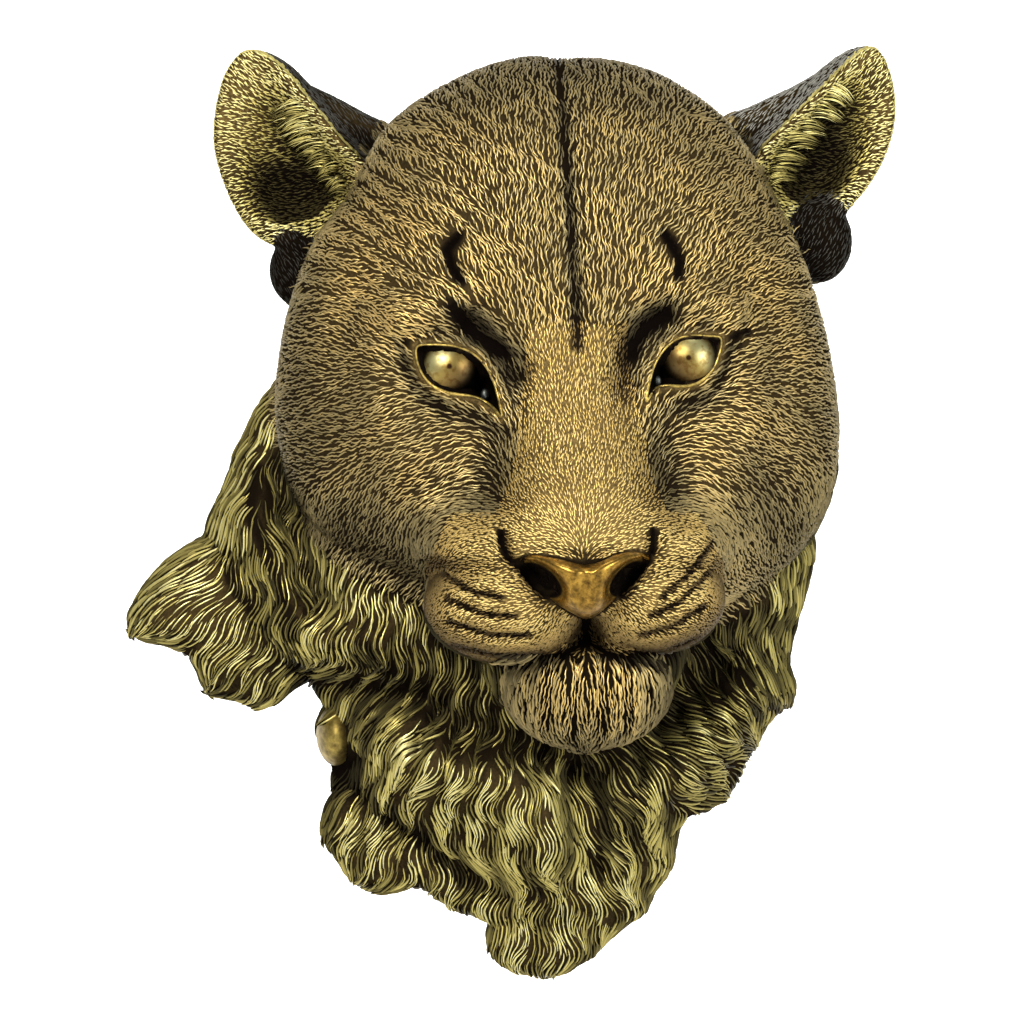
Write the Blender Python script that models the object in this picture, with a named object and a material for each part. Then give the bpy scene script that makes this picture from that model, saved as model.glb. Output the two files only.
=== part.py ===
"""Cast wall head of a lioness, with a flat back and a hanging pocket.

The front faces -Y and the flat back lies on the plane y = 0. The origin is a
point on that back plane, a little above the middle of the casting.
Every size below is in millimetres, and MM turns it into metres.
"""

import math

import bmesh
import bpy
import numpy as np

MM = 0.001

# Driving sizes of the whole casting, and what each lump is scaled to
FULL_HEIGHT = 380.0
DRAWN_HEIGHT = 380.0
SIZE = FULL_HEIGHT / DRAWN_HEIGHT

# How the lumps are fused, and how coarse the facets of the solid are
VOXEL = 2.1
FACETS = 9800
BEHIND_WALL = 5.0

# How far from their source the neck's locks have their full width
LOCK_REACH = 150.0

# The hanging pocket in the back
POCKET_WIDTH = 26.0
POCKET_HEIGHT = 18.0
POCKET_DEPTH = 13.0
POCKET_PLACE = (2.0, 62.0)
POCKET_CORNER = 4.0

GOLD = (0.46, 0.33, 0.11, 1.0)


# Outlines are seen from the front as (x, z), and run round their lump

HEAD_MIDDLE = (0.0, 28.0)
HEAD_OUTLINE = [
    (-1, 152), (20, 151.5), (45, 143.5), (70, 124.5), (89, 93), (103, 60), (112, 22),
    (113.5, -12), (105, -40), (82, -64), (45, -86), (12, -92), (-24, -88), (-60, -66),
    (-90, -51), (-108, -28), (-116, 6), (-112.5, 42), (-102, 74), (-86, 97),
    (-70, 125), (-42, 144), (-16, 152.5),
]
HEAD_EDGE = 46.0
HEAD_CROWN = 116.0

NECK_MIDDLE = (0.0, -78.0)
NECK_OUTLINE = [
    (103, -36), (103, -58), (97, -80), (94, -95), (96.5, -108), (86, -120), (77, -136),
    (67, -152), (50, -162), (46, -178), (38, -190), (22, -203), (2, -212), (-20, -207),
    (-42, -194), (-66, -180), (-82, -160), (-88, -138), (-97, -112), (-108, -100),
    (-128, -88), (-142, -64), (-146, -43), (-137, -20), (-130, -2), (-117, 20), (-90, 52),
    (0, 60), (84, 34),
]

FLAP_MIDDLE = (-140.0, -80.0)
FLAP_OUTLINE = [
    (-118, -32), (-146, -44), (-162, -54), (-172, -66), (-177.5, -77), (-174, -85),
    (-162, -88), (-151, -95), (-145, -107), (-131, -111), (-120, -113), (-110, -106),
    (-92, -92), (-95, -60),
]

HEM_MIDDLE = (-70.0, -166.0)
HEM_OUTLINE = [
    (-82, -144), (-93, -150), (-98, -163), (-94, -172), (-86, -184), (-72, -190),
    (-58, -188), (-42, -197), (-26, -199), (-22, -180), (-40, -160), (-62, -146),
]

TAIL_MIDDLE = (4.0, -196.0)
TAIL_OUTLINE = [
    (-24, -188), (-28, -200), (-29, -212), (-20, -221), (-2, -224), (10, -218),
    (24, -206), (38, -192), (34, -172), (6, -164), (-14, -172),
]

LEFT_EAR_MIDDLE = (-110.0, 112.0)
LEFT_EAR_OUTLINE = [
    (-124, 155.5), (-131, 155), (-138, 145), (-141.8, 128), (-141, 112), (-134, 93),
    (-124, 80), (-108, 74), (-92, 77), (-80, 90), (-78, 106), (-90, 120), (-103, 136),
    (-115, 150),
]
RIGHT_EAR_MIDDLE = (107.0, 118.0)
RIGHT_EAR_OUTLINE = [
    (129, 157.5), (135, 149), (137.8, 134), (136, 120), (130, 106), (122, 95), (112, 85),
    (98, 80), (84, 86), (76, 100), (82, 114), (96, 129), (109, 142), (121, 153.5),
]

# The backs of the ears, which show above their front rims
LEFT_EAR_BACK_MIDDLE = (-90.0, 121.0)
LEFT_EAR_BACK_OUTLINE = [
    (-117, 148), (-106, 143.5), (-94, 138), (-82, 131.5), (-68, 123), (-66, 108), (-80, 98),
    (-96, 106), (-112, 128),
]
RIGHT_EAR_BACK_MIDDLE = (90.0, 123.0)
RIGHT_EAR_BACK_OUTLINE = [
    (118, 151), (108, 148), (96, 141.5), (80, 134), (64, 126), (62, 110), (78, 100), (94, 108),
    (108, 130),
]

# Face landmarks as (x, z); the head is turned a little, so the sides differ
LEFT_EYE = (-45.0, 25.0)
RIGHT_EYE = (52.0, 28.5)
LEFT_LIDS = [
    (-57.8, 33.6), (-52, 34.0), (-45, 33.6), (-40, 32.4), (-35, 29.8), (-30.5, 25),
    (-27, 18), (-25, 11), (-24, 5), (-27.5, 9), (-32.5, 12.6), (-38, 14.2), (-45, 15.2),
    (-51, 17.6), (-55.2, 22), (-57.8, 28),
]
RIGHT_LIDS = [
    (35, 11), (36.4, 19), (39, 26.6), (43, 32.6), (48, 36.4), (54, 37.8), (60, 37.4),
    (65, 37), (64, 30.4), (61, 24), (56, 19.4), (50, 18), (44, 18.2), (39, 17),
]
EYE_RADIUS = 14.5
EYE_DEPTH = 115.5
MUZZLE_MIDDLE = (8.0, -60.0)
MUZZLE_OUTLINE = [
    (-53, -58), (-52, -74), (-40, -88), (-16, -95), (12, -95), (38, -92), (57, -83), (65, -68),
    (62, -50), (50, -32), (30, -20), (8, -16), (-14, -20), (-40, -34),
]
NOSE_TIP = (9.5, -61.0)
NOSE_OUTLINE = [
    (-17, -53), (-13, -50), (-5, -50.6), (3, -52.6), (10, -54), (17, -52.4), (24, -49.4),
    (31, -48.8), (36, -52), (33, -58.5), (26.5, -65.5), (20, -70.5), (14.5, -75), (10, -76.5),
    (6, -75), (-1, -71), (-9.5, -65.8), (-15.5, -59.5),
]
NOSTRILS = [((-7.8, -61.0), (9.6, 4.9), -38.0), ((27.0, -60.4), (9.0, 4.7), 44.0)]
# The slits beside the wings of the nose
NOSE_SLITS = [
    [(-24.2, -41), (-23.6, -47), (-21, -52.3), (-17, -55.8)],
    [(37.2, -40.5), (37.4, -46.5), (36.2, -51.6), (34, -55.4)],
]
# Whisker grooves: first outer end and its step, first inner end and its step
LEFT_WHISKERS = ((-47, -59), (1.0, -9.4), (-24, -68), (5.6, -7.6))
RIGHT_WHISKERS = ((61.5, -46), (-1.6, -12.6), (41, -68), (-4.2, -7.6))
CHIN = (11.0, -105.0)
CHIN_REACH = (34.0, 24.5)

# Smaller lumps: middle, reach, depth of the edge and height of the crown above it
JAW = ((8.0, -90.0), (42.0, 34.0), 70.0, 48.0)
LEFT_EAR_ROOT = ((-106.0, 66.0), (13.0, 15.0), 30.0, 11.0)
RIGHT_EAR_ROOT = ((106.0, 78.0), (14.0, 17.0), 31.0, 11.0)
KNOT = ((-91.5, -125.0), (8.5, 13.0), 14.0, 20.0)
KNOT_STEM = ((-88.0, -140.0), (6.0, 14.0), 8.0, 12.0)
LEFT_PAD = ((-21.5, -71.0), (33.5, 23.5))
RIGHT_PAD = ((38.5, -68.0), (28.0, 22.5))


def outline_radius(points, middle):
    """Gives the distance from the middle to a smooth closed outline, by angle."""
    ring = np.array(points, dtype=float) - np.array(middle)
    before = np.roll(ring, 1, axis=0)
    after = np.roll(ring, -1, axis=0)
    beyond = np.roll(ring, -2, axis=0)
    steps = np.linspace(0.0, 1.0, 12, endpoint=False)[:, None, None]
    curve = 0.5 * (2 * ring + (after - before) * steps
                   + (2 * before - 5 * ring + 4 * after - beyond) * steps ** 2
                   + (3 * ring - before - 3 * after + beyond) * steps ** 3)
    curve = curve.transpose(1, 0, 2).reshape(-1, 2)
    angles = np.arctan2(curve[:, 1], curve[:, 0])
    order = np.argsort(angles)
    reach = np.hypot(curve[:, 0], curve[:, 1])[order]
    turn = angles[order]
    return lambda angle: np.interp(angle, turn, reach, period=2 * math.pi)


def path_distance(x, z, path):
    """Gives each point's distance to a path, and how far along it that lies."""
    best = np.full(x.shape, 1e9)
    along = np.zeros(x.shape)
    count = len(path) - 1
    for step in range(count):
        ax, az = path[step]
        bx, bz = path[step + 1]
        length = (bx - ax) ** 2 + (bz - az) ** 2
        share = np.clip(((x - ax) * (bx - ax) + (z - az) * (bz - az)) / length, 0, 1)
        gap = np.hypot(x - ax - share * (bx - ax), z - az - share * (bz - az))
        nearer = gap < best
        along = np.where(nearer, (step + share) / count, along)
        best = np.where(nearer, gap, best)
    return best, along


def mound(x, z, place, spread, height, turn=0.0):
    """A soft oval mound, or a hollow where the height is negative."""
    c, s = math.cos(math.radians(turn)), math.sin(math.radians(turn))
    dx, dz = x - place[0], z - place[1]
    across = (dx * c + dz * s) / spread[0]
    up = (-dx * s + dz * c) / spread[1]
    return height * np.exp(-0.5 * (across ** 2 + up ** 2))


def stroke(x, z, path, width, height, fade=0.18):
    """A ridge along a path, or a groove, that fades out at its two ends."""
    gap, along = path_distance(x, z, path)
    ends = np.clip(np.minimum(along, 1 - along) / fade, 0, 1)
    ends = 0.15 + 0.85 * ends * ends * (3 - 2 * ends)
    return height * ends * np.exp(-0.5 * (gap / width) ** 2)


def opening(x, z, outline, lip, amount):
    """A hollow inside a closed outline, whose walls are as wide as the lip."""
    gap, _ = path_distance(x, z, outline + outline[:1])
    inside = np.zeros(x.shape, dtype=bool)
    for (ax, az), (bx, bz) in zip(outline, outline[1:] + outline[:1]):
        crosses = (az > z) != (bz > z)
        rise = bz - az if bz != az else 1e-9
        inside ^= crosses & (x < ax + (z - az) * (bx - ax) / rise)
    share = np.clip(np.where(inside, gap, -gap) / lip + 0.3, 0, 1)
    return amount * share * share * (3 - 2 * share)


def hole(x, z, place, reach, turn, amount):
    """An oval hollow with steep walls, such as a nostril."""
    c, s = math.cos(math.radians(turn)), math.sin(math.radians(turn))
    dx, dz = x - place[0], z - place[1]
    away = ((dx * c + dz * s) / reach[0]) ** 2 + ((-dx * s + dz * c) / reach[1]) ** 2
    return amount / (1 + away ** 2.5)


def midline(z):
    """The x of the head's middle line at a height."""
    return 9.5 - 10.5 * ((z + 80.0) / 233.0) ** 2


def muzzle_bridge(x, z):
    """The nose bridge and muzzle: a broad ridge that swells down to the nose."""
    heights = np.interp(z, [-112, -98, -88, -76, -62, -48, -30, -8, 10, 28, 50, 80],
                        [0, 14, 32, 50, 56, 53, 40, 21, 10, 4.5, 1.5, 0])
    widths = np.interp(z, [-112, -92, -76, -62, -50, -38, -26, -10, 12, 40, 80],
                       [44, 51, 56, 56, 52, 42, 34, 30, 27, 27, 30])
    across = np.abs(x - midline(z) + np.interp(z, [-70, -40], [2, 0])) / widths
    return heights * np.exp(-0.8 * across ** 3.4)


def face_strokes(x, z):
    """All that is modelled on the front of the head, as added depth."""
    depth = muzzle_bridge(x, z)
    # The parting on the forehead, and the two long swells beside it
    parting = [(midline(h), h) for h in (156, 120, 90, 62, 34)]
    depth += stroke(x, z, parting, 2.6, -3.2, 0.12)
    depth += mound(x, z, (-26, 92), (20, 34), 3.0)
    depth += mound(x, z, (34, 92), (18, 34), 3.0)
    # Temples, cheekbones and the soft hollows that bound the mask
    depth += mound(x, z, (-84, 62), (15, 24), -4.0, 20)
    depth += mound(x, z, (86, 64), (14, 24), -4.0, -20)
    depth += stroke(x, z, [(-60, 56), (-72, 32), (-72, -2), (-60, -28)], 10, 5.0)
    depth += stroke(x, z, [(68, 58), (77, 34), (78, 0), (68, -24)], 10, 5.0)
    depth += stroke(x, z, [(-90, 66), (-92, 10), (-80, -38)], 9, -3.5)
    depth += stroke(x, z, [(90, 68), (94, 10), (86, -34)], 9, -3.5)
    depth += mound(x, z, (-47, -47), (14, 12), 22.0, 20)
    depth += mound(x, z, (59, -43), (12, 12), 20.0, -20)
    depth += mound(x, z, (-52, -30), (18, 15), 5.0, 30)
    depth += mound(x, z, (62, -16), (13, 18), 4.0, -20)
    # Brows, with the slit on each
    depth += stroke(x, z, [(-74, 42), (-52, 49), (-34, 46)], 7.5, 6.0)
    depth += stroke(x, z, [(78, 46), (60, 52), (44, 49)], 7.5, 6.0)
    depth += stroke(x, z, [(-41, 79), (-46, 73), (-44.5, 66), (-40, 60)], 1.9, -3.6)
    depth += stroke(x, z, [(42, 80), (46.5, 73), (49, 68), (47.5, 62)], 1.9, -3.6)
    # The dark hollows from the brow to the inner corner of each eye
    depth += stroke(x, z, [(-42, 51), (-31, 38), (-20, 29), (-15, 18)], 4.4, -7.5)
    depth += stroke(x, z, [(46, 51), (34, 43), (27, 34), (24.5, 22), (28, 8)], 4.4, -7.5)
    # Eye sockets, the openings between the lids, and the lids' raised rims
    for place, turn in ((LEFT_EYE, -14), (RIGHT_EYE, 18)):
        depth += mound(x, z, place, (21, 15), -5.0, turn)
        depth += mound(x, z, place, (13, 10), 3.0, turn)
    for lids in (LEFT_LIDS, RIGHT_LIDS):
        depth += stroke(x, z, lids + lids[:1], 2.6, 3.4, 0.01)
        depth += opening(x, z, lids, 2.2, -15.0)
    depth += stroke(x, z, [(-76, 33), (-64, 37.5), (-52, 40.5), (-40, 39), (-30, 31)], 1.6, -2.2)
    depth += stroke(x, z, [(34, 26), (42, 39), (52, 43), (64, 43), (80, 40)], 1.6, -2.2)
    depth += stroke(x, z, [(-68, 36), (-63, 24), (-54, 12), (-42, 6.5)], 2.4, -2.8)
    depth += stroke(x, z, [(75, 38), (70, 26), (62, 15), (50, 11)], 2.4, -2.4)
    # Hollows down both sides of the nose
    depth += stroke(x, z, [(-24, 4), (-26, -16), (-30, -36)], 6, -3.5)
    depth += stroke(x, z, [(34, 6), (42, -14), (50, -34), (54, -44)], 6, -4.5)
    # The seat of the nose leather, the groove below it and the slits beside its wings
    depth += opening(x, z, NOSE_OUTLINE, 3.5, -20.0)
    depth += stroke(x, z, [(10, -76), (11, -84), (12, -98)], 4.5, -16, 0.02)
    for slit in NOSE_SLITS:
        depth += stroke(x, z, slit, 1.6, -7, 0.1)
    return depth


def head_front(x, z, r):
    """Depth of the head's front: a boxy dome with the face worked into it."""
    dome = (1.0 - r ** 2.7) ** 0.5
    fade = np.clip((1.0 - r) / np.interp(z, [-80, -30], [0.10, 0.22]), 0, 1)
    brow_to_jaw = np.interp(z, [-100, -20, 40, 150], [9, 2, 0, 4])
    return HEAD_EDGE + (HEAD_CROWN - HEAD_EDGE + brow_to_jaw) * dome + face_strokes(x, z) * fade


def muzzle_front(x, z, r):
    """Depth of the box of the muzzle, which carries the pads and the nose."""
    depth = 92.0 + 58.0 * np.clip(1 - r ** 2.8, 0, 1) ** 0.5
    depth += stroke(x, z, [(10, -76), (11, -84), (12, -100)], 5.0, -26, 0.02)
    depth -= 0.35 * np.clip(-72 - z, 0, 40)
    return depth + opening(x, z, NOSE_OUTLINE, 3.0, -14.0)


def whisker_rows(outer, outer_step, inner, inner_step):
    """The four grooves of a whisker pad, which fan outwards and sag in the middle."""
    rows = []
    for row in range(4):
        start = (outer[0] + outer_step[0] * row, outer[1] + outer_step[1] * row)
        end = (inner[0] + inner_step[0] * row, inner[1] + inner_step[1] * row)
        bend = ((start[0] + end[0]) / 2, (start[1] + end[1]) / 2 - 2.5)
        rows.append([start, bend, end])
    return rows


def pad_front(rows, reach):
    """Depth of a whisker pad: a pebble with four grooves that fan from the nose."""
    def front(x, z, r):
        depth = 106.0 + reach * np.clip(1 - r ** 2.2, 0, 1) ** 0.5
        for path in whisker_rows(*rows):
            depth += stroke(x, z, path, 1.5, -4.4)
        return depth + opening(x, z, NOSE_OUTLINE, 3.0, -16.0)
    return front


def nose_front(x, z, r):
    """Depth of the nose leather, with its two nostrils and the middle groove."""
    depth = 152.0 + 16.0 * np.clip(1 - r ** 3.2, 0, 1) ** 0.5 + 0.12 * (z - NOSE_TIP[1])
    depth += mound(x, z, (10, -60), (10, 12), 2.5)
    for place, reach, turn in NOSTRILS:
        depth += hole(x, z, place, reach, turn, -14.0)
    depth += stroke(x, z, [(-17.5, -54.5), (-14, -57), (-8, -61)], 1.8, -7.0, 0.1)
    depth += stroke(x, z, [(35.5, -53), (33, -56), (27, -60.5)], 1.8, -7.0, 0.1)
    depth += stroke(x, z, [(9.5, -56), (10, -68), (10, -80)], 1.8, -1.6)
    return depth


def chin_front(x, z, r):
    """Depth of the chin, with long coarse strands fanning down."""
    depth = 90.0 + 38.0 * np.clip(1 - r ** 2.0, 0, 1) ** 0.5 + 0.30 * (z - CHIN[1])
    spread = (x - CHIN[0]) / (1.0 - 0.008 * (z + 92))
    depth += 1.3 * np.cos(spread * 2 * math.pi / 8.5) * np.clip((1 - r) / 0.3, 0, 1)
    return depth


def neck_strokes(x, z):
    """Folds of the neck skin, and the coarse locks that run down them."""
    # The roll of skin that swings from the knot to the tail, and its hollows
    depth = stroke(x, z, [(-78, -142), (-52, -138), (-26, -145), (-6, -166), (0, -190)], 12, 20)
    depth += stroke(x, z, [(-80, -160), (-58, -170), (-32, -184), (-18, -200)], 5, -14)
    depth += stroke(x, z, [(-50, -124), (-20, -126), (0, -136)], 7, -9)
    depth += stroke(x, z, [(4, -130), (6, -150), (11, -168), (15, -188)], 6.5, -15)
    depth += stroke(x, z, [(-2, -188), (4, -216)], 2.6, -6)
    # The right fold, from the tail up to the jaw
    depth += stroke(x, z, [(22, -162), (44, -146), (72, -126), (92, -104)], 11, 16)
    depth += stroke(x, z, [(38, -186), (56, -160), (82, -134)], 6, -7)
    depth += stroke(x, z, [(34, -126), (52, -106), (68, -84)], 8, -13)
    depth += stroke(x, z, [(58, -92), (76, -72), (98, -62)], 6, 6)
    # The left side: two bands of locks, the flap's root and the pockets
    depth += stroke(x, z, [(-118, -4), (-112, -34), (-104, -56), (-92, -78)], 6, -11)
    depth += stroke(x, z, [(-132, -10), (-131, -40), (-120, -68), (-104, -86)], 8, 9)
    depth += stroke(x, z, [(-136, -46), (-124, -62), (-118, -78)], 4.5, -9)
    depth += stroke(x, z, [(-108, -90), (-88, -84), (-66, -94)], 7, 10)
    depth += stroke(x, z, [(-106, -108), (-84, -104), (-58, -110), (-40, -122)], 5, -11)
    depth += stroke(x, z, [(-86, -124), (-68, -124), (-50, -116)], 6, 7)
    depth += stroke(x, z, [(-66, -123), (-50, -128)], 5, -9, 0.4)
    return depth


def lock_waves(x, z, source, pitch, height):
    """Coarse wavy locks that fan down from a point above them, as added depth."""
    across = (x - source[0]) * LOCK_REACH / np.maximum(source[1] - z, 20.0)
    sway = 2.6 * np.sin(z / 15.0 + x / 60.0) + 1.3 * np.sin(z / 6.1 + x / 17.0)
    wave = np.cos((across + sway) * 2 * math.pi / pitch)
    return height * np.sign(wave) * np.abs(wave) ** 0.7


def neck_front(x, z, r):
    """Depth of the neck: deepest at the throat, thin at the hem."""
    base = 15.0 + 72.0 * np.clip(1 - r ** 1.7, 0, 1) ** 0.6
    fade = np.clip((1 - r) / 0.12, 0, 1)
    return base + (neck_strokes(x, z) + lock_waves(x, z, (-2, 40), 10.5, 1.4)) * fade


def skirt_front(edge, crown, source):
    """Depth of a loose flap of the hem, with locks that fan down from a point."""
    def front(x, z, r):
        fade = np.clip((1 - r) / 0.25, 0, 1)
        return (edge + (crown - edge) * np.sqrt(np.clip(1 - r ** 2.2, 0, 1))
                + lock_waves(x, z, source, 10.5, 1.4) * fade)
    return front


def pebble_front(edge, height):
    """Depth of a plain rounded lump."""
    return lambda x, z, r: edge + height * np.sqrt(np.clip(1 - r * r, 0, 1))


def ear_front(middle, side):
    """Depth of an ear's cupped front, which is swept back at its outer edge."""
    def front(x, z, r):
        rim = 40.0 - side * 0.30 * (x - middle[0]) + 0.05 * (z - middle[1])
        cup = np.clip((0.90 - r) / 0.62, 0, 1)
        cup = cup * cup * (3 - 2 * cup)
        lower = 1.0 + 0.011 * (middle[1] - z) - side * 0.011 * (x - middle[0])
        return rim + 1.2 * np.sin(np.clip(r - 0.86, 0, 0.14) * 22) - 16.0 * cup * lower
    return front


def oval(middle, reach):
    """A few points on an oval, as an outline."""
    turns = [2 * math.pi * k / 12 for k in range(12)]
    return [(middle[0] + reach[0] * math.cos(t), middle[1] + reach[1] * math.sin(t))
            for t in turns]


def wall_back(shrink):
    """Back of a lump that runs straight to the wall and ends flat behind it."""
    def back(x, z, depth_at_edge, t):
        run = np.clip(t / 0.4, 0, 1)
        reach = np.where(t < 0.4, 1 - (1 - shrink) * run * run, shrink * (1 - t) / 0.6)
        return reach, depth_at_edge * (1 - run) - BEHIND_WALL * run, 0.0, 0.0
    return back


def round_back(bulge, wall, lean):
    """Back of a free lump: a short wall at the rim, then a bulge that leans."""
    def back(x, z, depth_at_edge, t):
        inner = np.clip((t - 0.12) / 0.88, 0, 1) * math.pi / 2
        run = np.clip(t / 0.12, 0, 1)
        swell = np.sin(inner)
        return np.cos(inner), depth_at_edge - wall * run - bulge * swell, lean[0] * swell, lean[1] * swell
    return back


def lump(name, middle, points, front, back, rings=96, around=192):
    """One closed lump of clay: an outline, a front depth and a back."""
    clay = bmesh.new()
    bmesh.ops.create_uvsphere(clay, u_segments=around, v_segments=rings, radius=1.0)
    mesh = bpy.data.meshes.new(name)
    clay.to_mesh(mesh)
    clay.free()
    flat = np.zeros(len(mesh.vertices) * 3)
    mesh.vertices.foreach_get("co", flat)
    ball = flat.reshape(-1, 3)
    angle = np.arctan2(ball[:, 1], ball[:, 0])
    from_front = np.arccos(np.clip(ball[:, 2], -1, 1))
    reach = outline_radius(points, middle)(angle)
    share = np.minimum(np.sin(np.minimum(from_front, math.pi / 2)), 1.0)
    x = middle[0] + reach * share * np.cos(angle)
    z = middle[1] + reach * share * np.sin(angle)
    depth = front(x, z, share)
    behind = from_front > math.pi / 2
    t = np.clip((from_front - math.pi / 2) / (math.pi / 2), 0, 1)
    inward, back_depth, lean_x, lean_z = back(x, z, depth, t)
    x = np.where(behind, middle[0] + reach * inward * np.cos(angle) + lean_x, x)
    z = np.where(behind, middle[1] + reach * inward * np.sin(angle) + lean_z, z)
    depth = np.where(behind, back_depth, depth)
    placed = np.stack([x, -depth, z], axis=1) * SIZE * MM
    mesh.vertices.foreach_set("co", placed.ravel())
    mesh.update()
    piece = bpy.data.objects.new(name, mesh)
    bpy.context.collection.objects.link(piece)
    return piece


def eye_ball(name, place):
    """A ball that fills the socket between the lids."""
    ball = bmesh.new()
    bmesh.ops.create_icosphere(ball, subdivisions=4, radius=EYE_RADIUS * SIZE * MM)
    centre = (place[0] * MM, -(EYE_DEPTH - EYE_RADIUS) * MM, place[1] * MM)
    bmesh.ops.translate(ball, verts=ball.verts, vec=[SIZE * value for value in centre])
    mesh = bpy.data.meshes.new(name)
    ball.to_mesh(mesh)
    ball.free()
    piece = bpy.data.objects.new(name, mesh)
    bpy.context.collection.objects.link(piece)
    return piece


def clay_lumps():
    """All the lumps that are fused into the one casting."""
    wall = wall_back(0.90)
    lumps = [
        lump("head", HEAD_MIDDLE, HEAD_OUTLINE, head_front, wall_back(0.84), 256, 320),
        lump("neck", NECK_MIDDLE, NECK_OUTLINE, neck_front, wall, 160, 256),
        lump("flap", FLAP_MIDDLE, FLAP_OUTLINE, skirt_front(12, 40, (-28, 18)), wall),
        lump("hem", HEM_MIDDLE, HEM_OUTLINE, skirt_front(10, 34, (-2, -34)), wall),
        lump("tail", TAIL_MIDDLE, TAIL_OUTLINE, skirt_front(10, 34, (16, -46)), wall),
        lump("left_ear", LEFT_EAR_MIDDLE, LEFT_EAR_OUTLINE,
             ear_front(LEFT_EAR_MIDDLE, -1), round_back(23, 5, (13, 5))),
        lump("right_ear", RIGHT_EAR_MIDDLE, RIGHT_EAR_OUTLINE,
             ear_front(RIGHT_EAR_MIDDLE, 1), round_back(23, 5, (-14, 7))),
        lump("left_ear_back", LEFT_EAR_BACK_MIDDLE, LEFT_EAR_BACK_OUTLINE,
             pebble_front(19, 9), round_back(9, 5, (0, 0)), 48, 96),
        lump("right_ear_back", RIGHT_EAR_BACK_MIDDLE, RIGHT_EAR_BACK_OUTLINE,
             pebble_front(19, 9), round_back(9, 5, (0, 0)), 48, 96),
    ]
    for name, (middle, reach), rows in (("left_pad", LEFT_PAD, LEFT_WHISKERS),
                                        ("right_pad", RIGHT_PAD, RIGHT_WHISKERS)):
        lumps.append(lump(name, middle, oval(middle, reach), pad_front(rows, 53),
                          round_back(20, 12, (0, 0)), 96, 128))
    lumps.append(lump("muzzle", MUZZLE_MIDDLE, MUZZLE_OUTLINE, muzzle_front,
                      round_back(30, 16, (0, 0)), 96, 160))
    lumps.append(lump("nose", NOSE_TIP, NOSE_OUTLINE, nose_front,
                      round_back(16, 2, (0, 0)), 96, 128))
    lumps.append(lump("chin", CHIN, oval(CHIN, CHIN_REACH), chin_front,
                      round_back(24, 12, (0, 0)), 64, 128))
    for name, (middle, reach, edge, height), back in (
            ("jaw", JAW, round_back(24, 12, (0, 0))),
            ("left_ear_root", LEFT_EAR_ROOT, round_back(14, 8, (9, 0))),
            ("right_ear_root", RIGHT_EAR_ROOT, round_back(14, 8, (-9, 0))),
            ("knot", KNOT, wall), ("knot_stem", KNOT_STEM, wall)):
        lumps.append(lump(name, middle, oval(middle, reach), pebble_front(edge, height),
                          back, 64, 96))
    lumps.append(eye_ball("left_eye", LEFT_EYE))
    lumps.append(eye_ball("right_eye", RIGHT_EYE))
    return lumps


def joined(pieces, name):
    """Puts the lumps into one mesh, still as overlapping shells."""
    whole = bmesh.new()
    for piece in pieces:
        whole.from_mesh(piece.data)
        bpy.data.objects.remove(piece)
    bmesh.ops.recalc_face_normals(whole, faces=whole.faces)
    mesh = bpy.data.meshes.new(name)
    whole.to_mesh(mesh)
    whole.free()
    result = bpy.data.objects.new(name, mesh)
    bpy.context.collection.objects.link(result)
    return result


def guide_block(name, low, high, corner=0.0):
    """A hidden block that cuts the casting."""
    block = bmesh.new()
    bmesh.ops.create_cube(block, size=1.0)
    size = [b - a for a, b in zip(low, high)]
    centre = [(a + b) / 2 for a, b in zip(low, high)]
    bmesh.ops.scale(block, verts=block.verts, vec=size)
    if corner:
        uprights = [edge for edge in block.edges
                    if abs(edge.verts[0].co.y - edge.verts[1].co.y) > size[1] / 2]
        bmesh.ops.bevel(block, geom=uprights, offset=corner, affect="EDGES",
                        segments=4, profile=0.5, material=-1)
    bmesh.ops.translate(block, verts=block.verts, vec=centre)
    mesh = bpy.data.meshes.new(name)
    block.to_mesh(mesh)
    block.free()
    cutter = bpy.data.objects.new(name, mesh)
    cutter.hide_render = True
    cutter.display_type = "WIRE"
    bpy.context.collection.objects.link(cutter)
    return cutter


def gold_finish():
    """Antique gold over dark resin."""
    finish = bpy.data.materials.new("antique_gold")
    finish.use_nodes = True
    shader = finish.node_tree.nodes["Principled BSDF"]
    shader.inputs["Base Color"].default_value = GOLD
    shader.inputs["Metallic"].default_value = 0.85
    shader.inputs["Roughness"].default_value = 0.42
    return finish


def cast_head():
    """Fuses the lumps, thins the facets and cuts the flat back and its pocket."""
    head = joined(clay_lumps(), "lioness_head")
    fuse = head.modifiers.new("fuse", "REMESH")
    fuse.mode = "VOXEL"
    fuse.voxel_size = VOXEL * SIZE * MM
    fuse.use_smooth_shade = True
    soften = head.modifiers.new("soften", "SMOOTH")
    soften.factor = 0.5
    soften.iterations = 2
    fused = bpy.data.meshes.new_from_object(
        head.evaluated_get(bpy.context.evaluated_depsgraph_get()))
    head.modifiers.clear()
    head.data = fused
    thin = head.modifiers.new("thin", "DECIMATE")
    thin.ratio = FACETS / (2.0 * len(fused.polygons))
    wide = 400 * MM
    back = guide_block("back_plane", (-wide, 0.0, -wide), (wide, 30 * MM, wide))
    x, z = POCKET_PLACE
    pocket = guide_block(
        "pocket_guide",
        ((x - POCKET_WIDTH / 2) * MM, -POCKET_DEPTH * MM, (z - POCKET_HEIGHT / 2) * MM),
        ((x + POCKET_WIDTH / 2) * MM, 10 * MM, (z + POCKET_HEIGHT / 2) * MM),
        POCKET_CORNER * MM)
    for cutter in (back, pocket):
        cut = head.modifiers.new(cutter.name, "BOOLEAN")
        cut.operation = "DIFFERENCE"
        cut.solver = "EXACT"
        cut.object = cutter
    head.data.materials.clear()
    head.data.materials.append(gold_finish())
    return head


for old in list(bpy.data.objects):
    bpy.data.objects.remove(old)
cast_head()
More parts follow.
